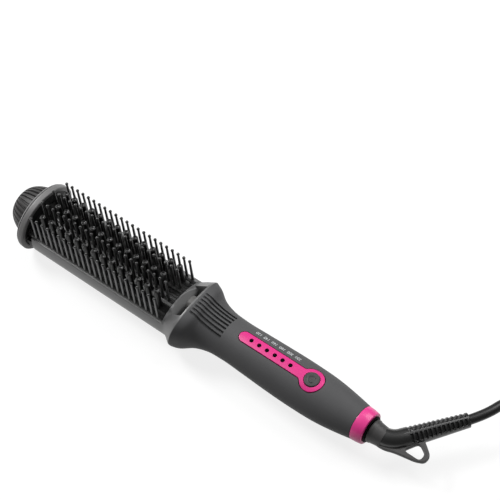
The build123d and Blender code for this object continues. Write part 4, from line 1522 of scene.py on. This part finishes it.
@dataclass
class Controls:
    """Pink keyhole strip, its lights, the printed numbers beside it, and the button.

    Args:
        handle: handle that they sit in.
        proud: how far the strip stands over the handle.
        strip_low: height of the strip's underside.
        edge_round: rounding of its edges.
        lights: stations of the lights.
        light_hole_r: radius of their holes.
        light_low: height of the lenses' underside.
        light_sunk: how far the lenses lie under the strip's face.
        dome: profile of a lens, as (radius, depth under its top).
        button_r: radius of the button.
        button_gap: gap round it.
        button_proud: how far its rim stands over the handle.
        dish: profile of its face, as (radius, depth under the rim).
        stem: profile of its skirt and stem, as (radius, height).
        sign_r: outer and inner radius of the sign.
        sign_gap: half of the gap in the sign, in degrees.
        sign_under: depth of the sign's foot and of its face under the rim.
        numbers: printed numbers.
        number_size: size of the print.
        number_bold: how much the print is thickened.
        number_y: distance of the numbers from the middle line.
        number_lift: height of the print over the handle.
    """

    handle: Handle
    proud: float = 0.25
    strip_low: float = 12.4
    edge_round: float = 0.22
    lights: tuple[float, ...] = tuple(203.2 + 6.08 * k for k in range(6))
    light_hole_r: float = 1.43
    light_low: float = 6.4
    light_sunk: float = 0.3
    dome: tuple[Pair, ...] = ((1.34, 0.3), (1.15, 0.12), (0.7, 0.03), (0.1, 0.0))
    button_r: float = 5.0
    button_gap: float = 0.3
    button_proud: float = 0.5
    dish: tuple[Pair, ...] = ((0.0, 0.22), (1.5, 0.2), (3.2, 0.1), (4.3, 0.0), (4.75, 0.08),
                              (5.0, 0.35))
    stem: tuple[Pair, ...] = ((5.02, 12.75), (6.1, 12.7), (6.1, 11.9), (1.65, 11.85),
                              (1.6, 10.8), (0.0, 10.75))
    sign_r: Pair = (2.3, 1.85)
    sign_gap: float = 40.0
    sign_under: Pair = (0.3, 0.04)
    numbers: tuple[str, ...] = ("120", "140", "160", "180", "200", "220")
    number_size: float = 2.9
    number_bold: float = 0.05
    number_y: float = 7.6
    number_lift: float = 0.03

    def sheet(self) -> bpy.types.Object:
        """Slab whose top follows the handle, a little over it.

        Returns:
            The tool that gives the strip its face.
        """
        half_w, low = 10.5, 10.5
        across = np.linspace(-half_w, half_w, 43)
        rings = []
        for s in np.linspace(188, 264, 120):
            z = self.handle.height(np.full(len(across), s), across) + self.proud
            under = np.array([(s, across[-1], low), (s, across[0], low)])
            rings.append(np.concatenate([ring(s, across, z), under]))
        return Shape.piece("skin", *Shape.skin(rings))

    def strip(self) -> bpy.types.Object:
        """Pink strip with its holes and rounded edges.

        Returns:
            The object.
        """
        keyhole = self.handle.keyhole
        holes = [circle(x, 0, self.light_hole_r, 28) for x in self.lights]
        holes.append(circle(keyhole.button, 0, self.button_r + self.button_gap, 56))
        above = 20.0
        plate = Shape.plate("control_keyhole", keyhole.outline(0.0), holes, self.strip_low, above)
        Shape.cut(plate, self.sheet(), Cut.WITHIN)
        Shape.bevel(plate, self.edge_round, angle=50, segments=2)
        Shape.apply(plate)
        Shape.smooth(plate, crease=40)
        return plate

    def lenses(self) -> bpy.types.Object:
        """Six small domed lights, just under the strip's face.

        Returns:
            The object.
        """
        forms = []
        for x in self.lights:
            top = self.handle.top(x) + self.proud - self.light_sunk
            profile = [(self.dome[0][0], self.light_low)] + [(r, top - d) for r, d in self.dome]
            forms.append(Shape.stood(x, 0.0, profile, sides=20))
        return Shape.piece("light_domes", *Shape.merged(forms), crease=60)

    def button_cap(self) -> bpy.types.Object:
        """Slightly dished round button with a raised on-off sign, an open ring.

        Returns:
            The object.
        """
        x = self.handle.keyhole.button
        top = self.handle.top(x) + self.button_proud
        profile = [(r, top - depth) for r, depth in self.dish] + list(self.stem)
        made = Shape.piece("button_cap", *Shape.stood(x, 0.0, profile, sides=64), crease=30)
        start, end = self.sign_gap, 360 - self.sign_gap
        outline = (circle(x, 0, self.sign_r[0], 40, start, end)
                   + circle(x, 0, self.sign_r[1], 40, end, start))
        low, high = (top - depth for depth in self.sign_under)
        return Shape.cut(made, Shape.plate("sign", outline, [], low, high), Cut.TOGETHER)

    def label(self, k: int) -> bpy.types.Object:
        """One printed number that lies on the handle beside its light.

        Args:
            k: place of the light in the row.

        Returns:
            The object.
        """
        name = f"number_{k + 1}"
        text = bpy.data.curves.new(name, "FONT")
        text.body = self.numbers[k]
        text.size = self.number_size * MM
        text.offset = self.number_bold * MM
        text.align_x, text.align_y = "CENTER", "CENTER"
        mesh = Shape.meshed(name, text)
        body = bmesh.new()
        body.from_mesh(mesh)
        longest = 0.5 * MM
        long_edges = [e for e in body.edges if e.calc_length() > longest]
        bmesh.ops.subdivide_edges(body, edges=long_edges, cuts=1)
        body.to_mesh(mesh)
        body.free()
        co = np.array([v.co for v in mesh.vertices], float) / MM
        s, y = self.lights[k] - co[:, 0], self.number_y - co[:, 1]
        points = part(ring(s, y, self.handle.height(s, y) + self.number_lift))
        mesh.vertices.foreach_set("co", points.astype(np.float32).ravel())
        mesh.flip_normals()
        mesh.update()
        return Shape.link(name, mesh)

    def build(self) -> None:
        """Build, dress and place strip, lights, button and numbers."""
        Finish.ACCENT.place(self.strip(), Body.HANDLE, "ring_pink", "control_strip")
        Finish.LENS.place(self.lenses(), Body.HANDLE, "lens_smoke", "led_lenses")
        Finish.BUTTON.place(self.button_cap(), Body.BUTTON, "button_grey", "power_button")
        for k in range(len(self.numbers)):
            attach(Finish.PRINT.dress(self.label(k)), Body.HANDLE.value)


@dataclass
class EndFittings:
    """Pink ring at the handle's end and the black bush that the gland turns in.

    Args:
        ring_profile: corners of the ring, as (station, radius).
        ring_round: rounding of these corners.
        bush_profile: corners of the bush, as (station, radius).
        bush_round: rounding of these corners.
    """

    ring_profile: tuple[Pair, ...] = ((286.0, 9.0), (286.0, 11.6), (290.0, 11.35), (293.7, 10.7),
                                      (293.7, 8.05), (286.5, 8.05))
    ring_round: float = 0.6
    bush_profile: tuple[Pair, ...] = ((284.0, 5.06), (284.0, 7.95), (293.72, 7.95),
                                      (293.72, 9.1), (BRUSH_END, 8.85), (BRUSH_END, 5.06))
    bush_round: float = 0.5

    def build(self) -> None:
        """Build, dress and place ring and bush."""
        corners = Shape.rounded(self.ring_profile, self.ring_round, ends=True)
        made = Shape.turned("end_ring_pink", corners, sides=120, loop=True)
        Finish.RING_PAINTED_HIGHLIGHT.place(made, Body.HANDLE, "ring_pink", "end_ring")
        corners = Shape.rounded(self.bush_profile, self.bush_round, ends=True)
        made = Shape.turned("swivel_bush_black", corners, sides=96, loop=True)
        Finish.BUSH.place(made, Body.HANDLE, "bush_black", "swivel_bush")


# ---------------------------------------------------------------- gland, cord and plug
@dataclass
class Gland:
    """Swivel neck, elbow, slotted strain relief and hanging loop.

    Args:
        neck_start: station where the neck starts.
        neck_end: station where it ends.
        neck_r: radii of its flange, behind the flange, and at its end.
        elbow: station of the elbow's corner.
        turn: angle of the elbow, in degrees.
        bend_r: radius of its bend.
        sleeve_r: radius of elbow and relief.
        taper: how much thinner the relief's end is.
        relief_start: distance of the relief's start past the corner.
        relief_end: distance of its end.
        rib_first: distance of its first rib.
        rib_pitch: distance between ribs.
        rib_slot: width of the slots between them.
        rib_depth: depth of the slots.
        rib_wall: width of the wall behind a rib, and of the one before the next.
        rib_count: number of ribs.
        end_round: length and inset of the relief's rounded end.
        spines: solid strips along it, as (middle, half width, fade) in degrees.
        far_share: share of the slots' depth on the side away from the loop.
        step: distance between the relief's rings.
        loop_outer: corners of the hanging loop, from the elbow's corner.
        loop_inner: corners of its hole.
        loop_round: rounding of the outer and of the inner corners.
        loop_half: half of its thickness.
        loop_edge: rounding of its edges.
        shank_profile: corners of the shank, as (station, radius).
    """

    neck_start: float = 295.2
    neck_end: float = 304.8
    neck_r: tuple[float, float, float] = (7.9, 7.75, 6.53)
    elbow: float = 308.6
    turn: float = 54.0
    bend_r: float = 14.0
    sleeve_r: float = 6.5
    taper: float = 1.8
    relief_start: float = 8.5
    relief_end: float = 49.5
    rib_first: float = 10.5
    rib_pitch: float = 2.85
    rib_slot: float = 1.6
    rib_depth: float = 1.6
    rib_wall: Pair = (0.25, 0.15)
    rib_count: int = 13
    end_round: Pair = (0.5, 0.6)
    spines: tuple[tuple[float, float, float], ...] = ((97, 10, 3), (210, 54, 4))
    far_share: float = 0.3
    step: float = 0.14
    loop_outer: tuple[Pair, ...] = ((-7.5, -7.0), (-0.5, -6.9), (5.5, -4.7), (19.3, -2.2),
                                    (24.6, 0.3), (24.8, 5.8), (18.9, 10.6), (12.0, 15.0),
                                    (0.0, 2.0))
    loop_inner: tuple[Pair, ...] = ((9.6, -0.3), (21.4, -0.3), (21.4, 5.0), (14.8, 9.0))
    loop_round: Pair = (3.4, 2.7)
    loop_half: float = 1.3
    loop_edge: float = 0.45
    shank_profile: tuple[Pair, ...] = (
        (271.6, 0.0), (271.6, 3.5), (281.6, 3.5), (281.6, 6.4), (283.1, 6.4), (283.1, 5.0),
        (295.4, 5.0), (295.4, 0.0))

    def path(self) -> list[tuple[float, float, float, float]]:
        """Centre line of elbow and relief.

        Returns:
            Rows of (station, across, direction, distance past the elbow's corner).
        """
        turn = math.radians(self.turn)
        reach = self.bend_r * math.tan(turn / 2)
        rows = [(self.elbow - reach - 0.6, 0.0, 0.0, -reach - 0.6)]
        for a in np.linspace(0, turn, 40):
            rows.append((self.elbow - reach + self.bend_r * math.sin(a),
                         self.bend_r * (1 - math.cos(a)), a, reach * (2 * a / turn - 1)))
        for d in np.arange(reach + self.step, self.relief_end + 0.001, self.step):
            rows.append((self.elbow + d * math.cos(turn), d * math.sin(turn), turn, d))
        return rows

    def neck(self) -> bpy.types.Object:
        """Tapered collar that turns at the handle's end.

        Returns:
            The object.
        """
        a, b = self.neck_start, self.neck_end
        flange, wide, thin = self.neck_r
        profile = Shape.rounded([(a, 0.0), (a, flange), (a + 1.6, wide)], radius=0.5)
        profile += [(a + share * (b - a), thin + (wide - thin) * (1 - share) ** 1.5)
                    for share in np.linspace(0.25, 1, 16)]
        return Shape.turned("gland_neck", profile + [(b, 0.0)], sides=96)

    def relief(self, d: float) -> Pair:
        """Outer radius and depth of the slots at a distance past the elbow's corner.

        Args:
            d: the distance.

        Returns:
            Radius and depth.
        """
        if d <= self.relief_start:
            return self.sleeve_r, 0.0
        share = (d - self.relief_start) / (self.relief_end - self.relief_start)
        radius, depth = self.sleeve_r - self.taper * share, 0.0
        phase = (d - self.rib_first) / self.rib_pitch
        if 0 <= phase < self.rib_count + 0.5:
            local = (phase - math.floor(phase)) * self.rib_pitch
            rib_w = self.rib_pitch - self.rib_slot
            behind, before = self.rib_wall
            on_rib = 1 - ramp(abs(local - rib_w / 2) - rib_w / 2 + 0.1, behind)
            near_next = ramp(local - self.rib_pitch + before, before)
            depth = self.rib_depth * (1 - max(float(on_rib), float(near_next)))
        length, inset = self.end_round
        if d > self.relief_end - length:
            radius -= inset * ((d - self.relief_end + length) / length) ** 2
        return radius, depth

    def sleeve(self) -> bpy.types.Object:
        """Elbow and slotted strain relief as one skin, with its spines left solid.

        Returns:
            The object.
        """
        angles = around(120)
        degrees = np.degrees(angles)
        spine = np.max([ramp(half_w - np.abs(degrees - middle), fade)
                        for middle, half_w, fade in self.spines], axis=0)
        near = ramp(degrees - 60, 25) * (degrees < 300)
        shallow = self.far_share + (1 - self.far_share) * near
        rings = []
        for s, y, a, d in self.path():
            radius, depth = self.relief(d)
            r = radius - depth * (1 - spine) * shallow
            side = r * np.cos(angles)
            rings.append(ring(s - math.sin(a) * side, y + math.cos(a) * side, r * np.sin(angles)))
        return Shape.piece("gland_sleeve", *Shape.skin(rings), crease=38)

    def loop(self) -> bpy.types.Object:
        """Flat hanging loop with a rounded edge.

        Returns:
            The object.
        """
        outline, hole = (
            [(self.elbow + x, y) for x, y in Shape.rounded(corners, radius, steps=7, ends=True)]
            for corners, radius in zip((self.loop_outer, self.loop_inner), self.loop_round))
        return Shape.plate("hanging_loop", outline, [hole], -self.loop_half, self.loop_half,
                           self.loop_edge)

    def shank(self) -> bpy.types.Object:
        """Turned shank that runs in the bush, with its head and nose."""
        corners = Shape.rounded(self.shank_profile, radius=0.3, steps=2)
        return Shape.turned("gland_shank", corners, sides=64)

    def build(self) -> list[bpy.types.Object]:
        """Build, dress and place the gland.

        Returns:
            Its pieces.
        """
        made = [self.neck(), self.sleeve(), self.loop(), self.shank()]
        for piece, finish in zip(made, (Finish.GLAND, Finish.SLEEVE, Finish.GLAND, Finish.GLAND)):
            finish.place(piece, Body.SWIVEL, "gland_rubber", "cord_gland")
        return made


@dataclass
class Cord:
    """Mains cord: its seen run, the put-away coil and the plug.

    Args:
        radius: radius of the cord.
        low: height of its middle on the floor.
        route: points of the seen run, from the relief to the coil.
        centre: centre of the coil.
        turn_radii: radii of its turns.
        turn_marks: course of the coil, as (degrees, turn, layer).
        points_a_turn: points on a turn.
        plug_z: height of the plug's middle.
        plug_start: distance of its neck from the coil's centre.
        plug_steps: sections of it, as (distance, half width, half height, squareness).
    """

    radius: float = 3.2
    low: float = FLOOR + 3.25
    route: tuple[tuple[float, float, float], ...] = (
        (337.84, 40.25, 0.0), (344.3, 50.3, 0.0), (348.2, 64.2, -1.0), (358.25, 76.0, -5.2),
        (372.3, 82.5, -11.2), (387.8, 82.5, FLOOR + 3.25), (400.8, 82.5, FLOOR + 3.25))
    centre: Pair = (425.8, 37.7)
    turn_radii: tuple[float, ...] = (25.6, 32.0, 38.4, 44.8)
    turn_marks: tuple[tuple[int, int, int], ...] = (
        (0, 3, 0), (250, 3, 0), (350, 2, 0), (610, 2, 0), (710, 1, 0), (970, 1, 0), (1070, 0, 0),
        (1210, 0, 0), (1310, 0, 1), (1460, 0, 1), (1560, 1, 1), (1820, 1, 1), (1920, 2, 1),
        (2180, 2, 1), (2280, 3, 1), (2520, 3, 1))
    points_a_turn: int = 16
    plug_z: float = FLOOR + 0.05 + 6.85
    plug_start: float = 33.0
    plug_steps: tuple[tuple[float, ...], ...] = (
        (0.0, 4.1, 4.1, 2.0), (1.5, 4.5, 4.5, 2.0), (10.5, 5.4, 5.4, 2.0), (11.9, 6.2, 5.8, 2.2),
        (14.0, 12.2, 6.5, 3.4), (16.0, 12.9, 6.8, 4.2), (26.5, 13.0, 6.85, 4.5),
        (33.1, 12.9, 6.8, 4.5), (33.8, 12.4, 6.3, 4.2), (34.0, 11.6, 5.6, 4.0))

    def coil(self) -> list[tuple[float, float, float]]:
        """Control points of the coil: inwards below, up, and outwards on top.

        Returns:
            The points, a little outside the turns, because the spline cuts inside its corners.
        """
        at, turns, layers = zip(*self.turn_marks)
        angles = np.arange(0, at[-1], 360 / self.points_a_turn)
        swell = 2 / (1 + math.cos(2 * (math.pi / self.points_a_turn)))
        radius = np.interp(angles, at, [self.turn_radii[k] for k in turns])
        radius = radius * (1 + (swell - 1) * 0.5)
        lift = np.interp(angles, at, layers) * 2 * self.radius
        return [(self.centre[0] + r * math.sin(t), self.centre[1] + r * math.cos(t), self.low + z)
                for r, t, z in zip(radius, np.radians(angles), lift)]

    def line(self) -> bpy.types.Object:
        """Cord as a smooth spline through its route, coil and run to the plug.

        Returns:
            The object.
        """
        top = self.low + 2 * self.radius
        x, y = self.centre[0], self.route[-1][1]
        out = [(x + 1.0, y, top), (x + 11.0, y, top - 0.1), (x + 24.0, y, self.plug_z),
               (x + 35.0, y, self.plug_z)]
        points = list(self.route) + self.coil() + out
        curve = bpy.data.curves.new("mains_cord", "CURVE")
        curve.dimensions = "3D"
        spline = curve.splines.new("NURBS")
        spline.points.add(len(points) - 1)
        for point, place in zip(spline.points, part(points)):
            point.co = (*place, 1.0)
        spline.order_u = 3
        spline.use_endpoint_u = True
        spline.resolution_u = 8
        curve.bevel_depth = self.radius * MM
        curve.bevel_resolution = 8
        curve.use_fill_caps = True
        return Shape.link("mains_cord", curve)

    def plug(self) -> bpy.types.Object:
        """Flat plug body with a round neck and softened edges.

        Returns:
            The object.
        """
        start, middle = self.centre[0] + self.plug_start, self.route[-1][1]
        sides = 72
        angles = (np.arange(sides) + 0.5) * 2 * math.pi / sides
        rings = []
        for along, half_w, half_h, power in self.plug_steps:
            y, z = oval(angles, half_w, half_h, power)
            rings.append(ring(start + along, middle + y, self.plug_z + z))
        return Shape.piece("plug_shell", *Shape.skin(rings), crease=40)

    def build(self, gland: Sequence[bpy.types.Object]) -> None:
        """Args:
            gland: pieces of the gland, which sit on the cord's end; not used.
        """
        cord = Finish.CORD.place(self.line(), Body.HANDLE, "cord_rubber", "cord_tube", "cord_coil")
        plug = Finish.PLUG.place(self.plug(), Body.HANDLE, "plug_black", "plug_body")


# ---------------------------------------------------------------- carried-over nodes
@dataclass
class CarriedNodes:
    """Nodes that keep their own shape.

    Args:
        finishes: finish of each node.
        softened: rounding of the edges of those that get one.
    """

    finishes: dict[str, Finish] = field(default_factory=lambda: {
        "bed_carrier": Finish.CARRIER, "heat_plate": Finish.PLATE,
        "ion_needle": Finish.STEEL, "ptc_heaters": Finish.CERAMIC,
        "heater_insulator": Finish.FILM, "heater_spring": Finish.STEEL,
        "thermal_fuse": Finish.CERAMIC, "thermistor": Finish.CERAMIC,
        "led_chips": Finish.CHIP, "switch_plunger": Finish.CARRIER,
        "tact_switch": Finish.CARRIER, "control_board": Finish.BOARD,
        "board_screws": Finish.STEEL, "ion_module": Finish.PLUG,
        "heater_leads": Finish.LEAD, "slip_rings": Finish.BRASS,
        "contact_block": Finish.CARRIER, "contact_brushes": Finish.BRASS,
        "plug_pins": Finish.PLATED,
    })
    softened: dict[str, float] = field(default_factory=lambda: {
        "heat_plate": 0.15, "plug_pins": 0.3})

    def build(self) -> None:
        """Dress every carried-over node."""
        for name, finish in self.finishes.items():
            node = finish.dress(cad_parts[name])
            Shape.smooth(node, crease=30)
            if name in self.softened:
                Shape.bevel(node, self.softened[name], angle=32, segments=3)


# ---------------------------------------------------------------- stage
@dataclass
class Studio:
    """Pale floor, soft lights and the camera.

    Args:
        camera_at: place of the camera in the part's frame, in mm.
        right: direction to the right of its view.
        down: direction down its view.
        ahead: direction that it looks in.
        lens: focal length, in mm.
        floor_reach: half of the floor's side, in metres.
        floor_white: light that the floor shows of itself.
        room_light: strength of the world's light.
    """

    camera_at: tuple[float, float, float] = (576.309 - MID_STATION, -371.899, 884.721)
    right: tuple[float, float, float] = (0.7801292, 0.6215023, -0.0716472)
    down: tuple[float, float, float] = (0.4799070, -0.6679639, -0.5687824)
    ahead: tuple[float, float, float] = (-0.4013573, 0.4093398, -0.8193615)
    lens: float = 116.42
    floor_reach: float = 6.0
    floor_white: float = 0.82
    room_light: float = 0.14

    def floor_finish(self) -> bpy.types.Material:
        """Finish of the floor, whose own white shows to the camera and in reflections only.

        Returns:
            The material.
        """
        made = bpy.data.materials.new("floor_white")
        made.use_nodes = True
        tree = made.node_tree
        shader = tree.nodes["Principled BSDF"]
        shader.inputs["Base Color"].default_value = (0.2, 0.2, 0.2, 1)
        shader.inputs["Roughness"].default_value = 0.9
        glow = add_node(tree, "Emission", Color=(*[self.floor_white] * 3, 1))
        path = add_node(tree, "LightPath")
        either, any_ray = add_node(tree, "Math"), add_node(tree, "Math")
        either.operation = any_ray.operation = "MAXIMUM"
        both = add_node(tree, "AddShader")
        join(tree, (path.outputs["Is Camera Ray"], either.inputs[0]),
             (path.outputs["Is Glossy Ray"], either.inputs[1]),
             (either.outputs[0], any_ray.inputs[0]),
             (path.outputs["Is Transmission Ray"], any_ray.inputs[1]),
             (any_ray.outputs[0], glow.inputs["Strength"]),
             (shader.outputs[0], both.inputs[0]), (glow.outputs[0], both.inputs[1]),
             (both.outputs[0], tree.nodes["Material Output"].inputs["Surface"]))
        return made

    def floor(self) -> None:
        """Plain pale floor that keeps a soft shadow."""
        mesh = bpy.data.meshes.new("floor")
        far = self.floor_reach
        mesh.from_pydata([(-far, -far, 0), (far, -far, 0), (far, far, 0), (-far, far, 0)], [],
                         [(0, 1, 2, 3)])
        mesh.materials.append(self.floor_finish())
        floor = Shape.link("floor", mesh)
        floor.location.z = -0.0002
        floor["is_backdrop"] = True

    def lamp(self, name: str, place: Point, size: float, power: float) -> None:
        """Square soft light that looks at the brush's middle.

        Args:
            name: name of the lamp.
            place: where it stands, in metres.
            size: its side, in metres.
            power: its power, in watts.
        """
        light = bpy.data.lights.new(name, "AREA")
        light.size = size
        light.energy = power
        lamp = Shape.link(name, light)
        lamp.location = place
        lamp.rotation_mode = "QUATERNION"
        lamp.rotation_quaternion = (-Vector(place)).to_track_quat("-Z", "Y")

    def camera(self) -> None:
        """Camera of the scene."""
        camera = bpy.data.cameras.new("camera")
        camera.lens = self.lens
        camera.sensor_width = 36.0
        camera.clip_start, camera.clip_end = 0.01, 20.0
        view = Shape.link("camera", camera)
        turn = Matrix((Vector(self.right), -Vector(self.down), -Vector(self.ahead))).transposed()
        view.matrix_world = Matrix.Translation(Vector(self.camera_at) * MM) @ turn.to_4x4()
        bpy.context.scene.camera = view

    def build(self) -> None:
        """Set up the floor, the lights, the world and the camera."""
        self.floor()
        self.lamp("key", (-1.2, 0.0, 1.35), size=0.6, power=28.0)
        self.lamp("back", (0.4, 1.0, 1.3), size=1.1, power=17.0)
        world = bpy.data.worlds.new("room")
        bpy.context.scene.world = world
        world.use_nodes = True
        sky = world.node_tree.nodes["Background"]
        sky.inputs["Color"].default_value = (1, 1, 1, 1)
        sky.inputs["Strength"].default_value = self.room_light
        self.camera()
        bpy.context.scene.view_settings.view_transform = "Standard"


def main() -> None:
    """Build every sub-assembly in order and report it."""
    logging.basicConfig(level=logging.INFO, format="%(message)s")
    Studio().build()
    gland = Gland().build()
    Cord().build(gland)
    CarriedNodes().build()
    TipCap().build()
    bed = BristleBed()
    bed.build()
    handle = Handle()
    HeadFrame().build(handle, bed)
    handle.build()
    Controls(handle).build()
    EndFittings().build()
    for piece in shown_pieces():
        if piece.type == "MESH":
            log.info("%s: %d faces", piece.name, len(piece.data.polygons))


if __name__ == "__main__":
    main()
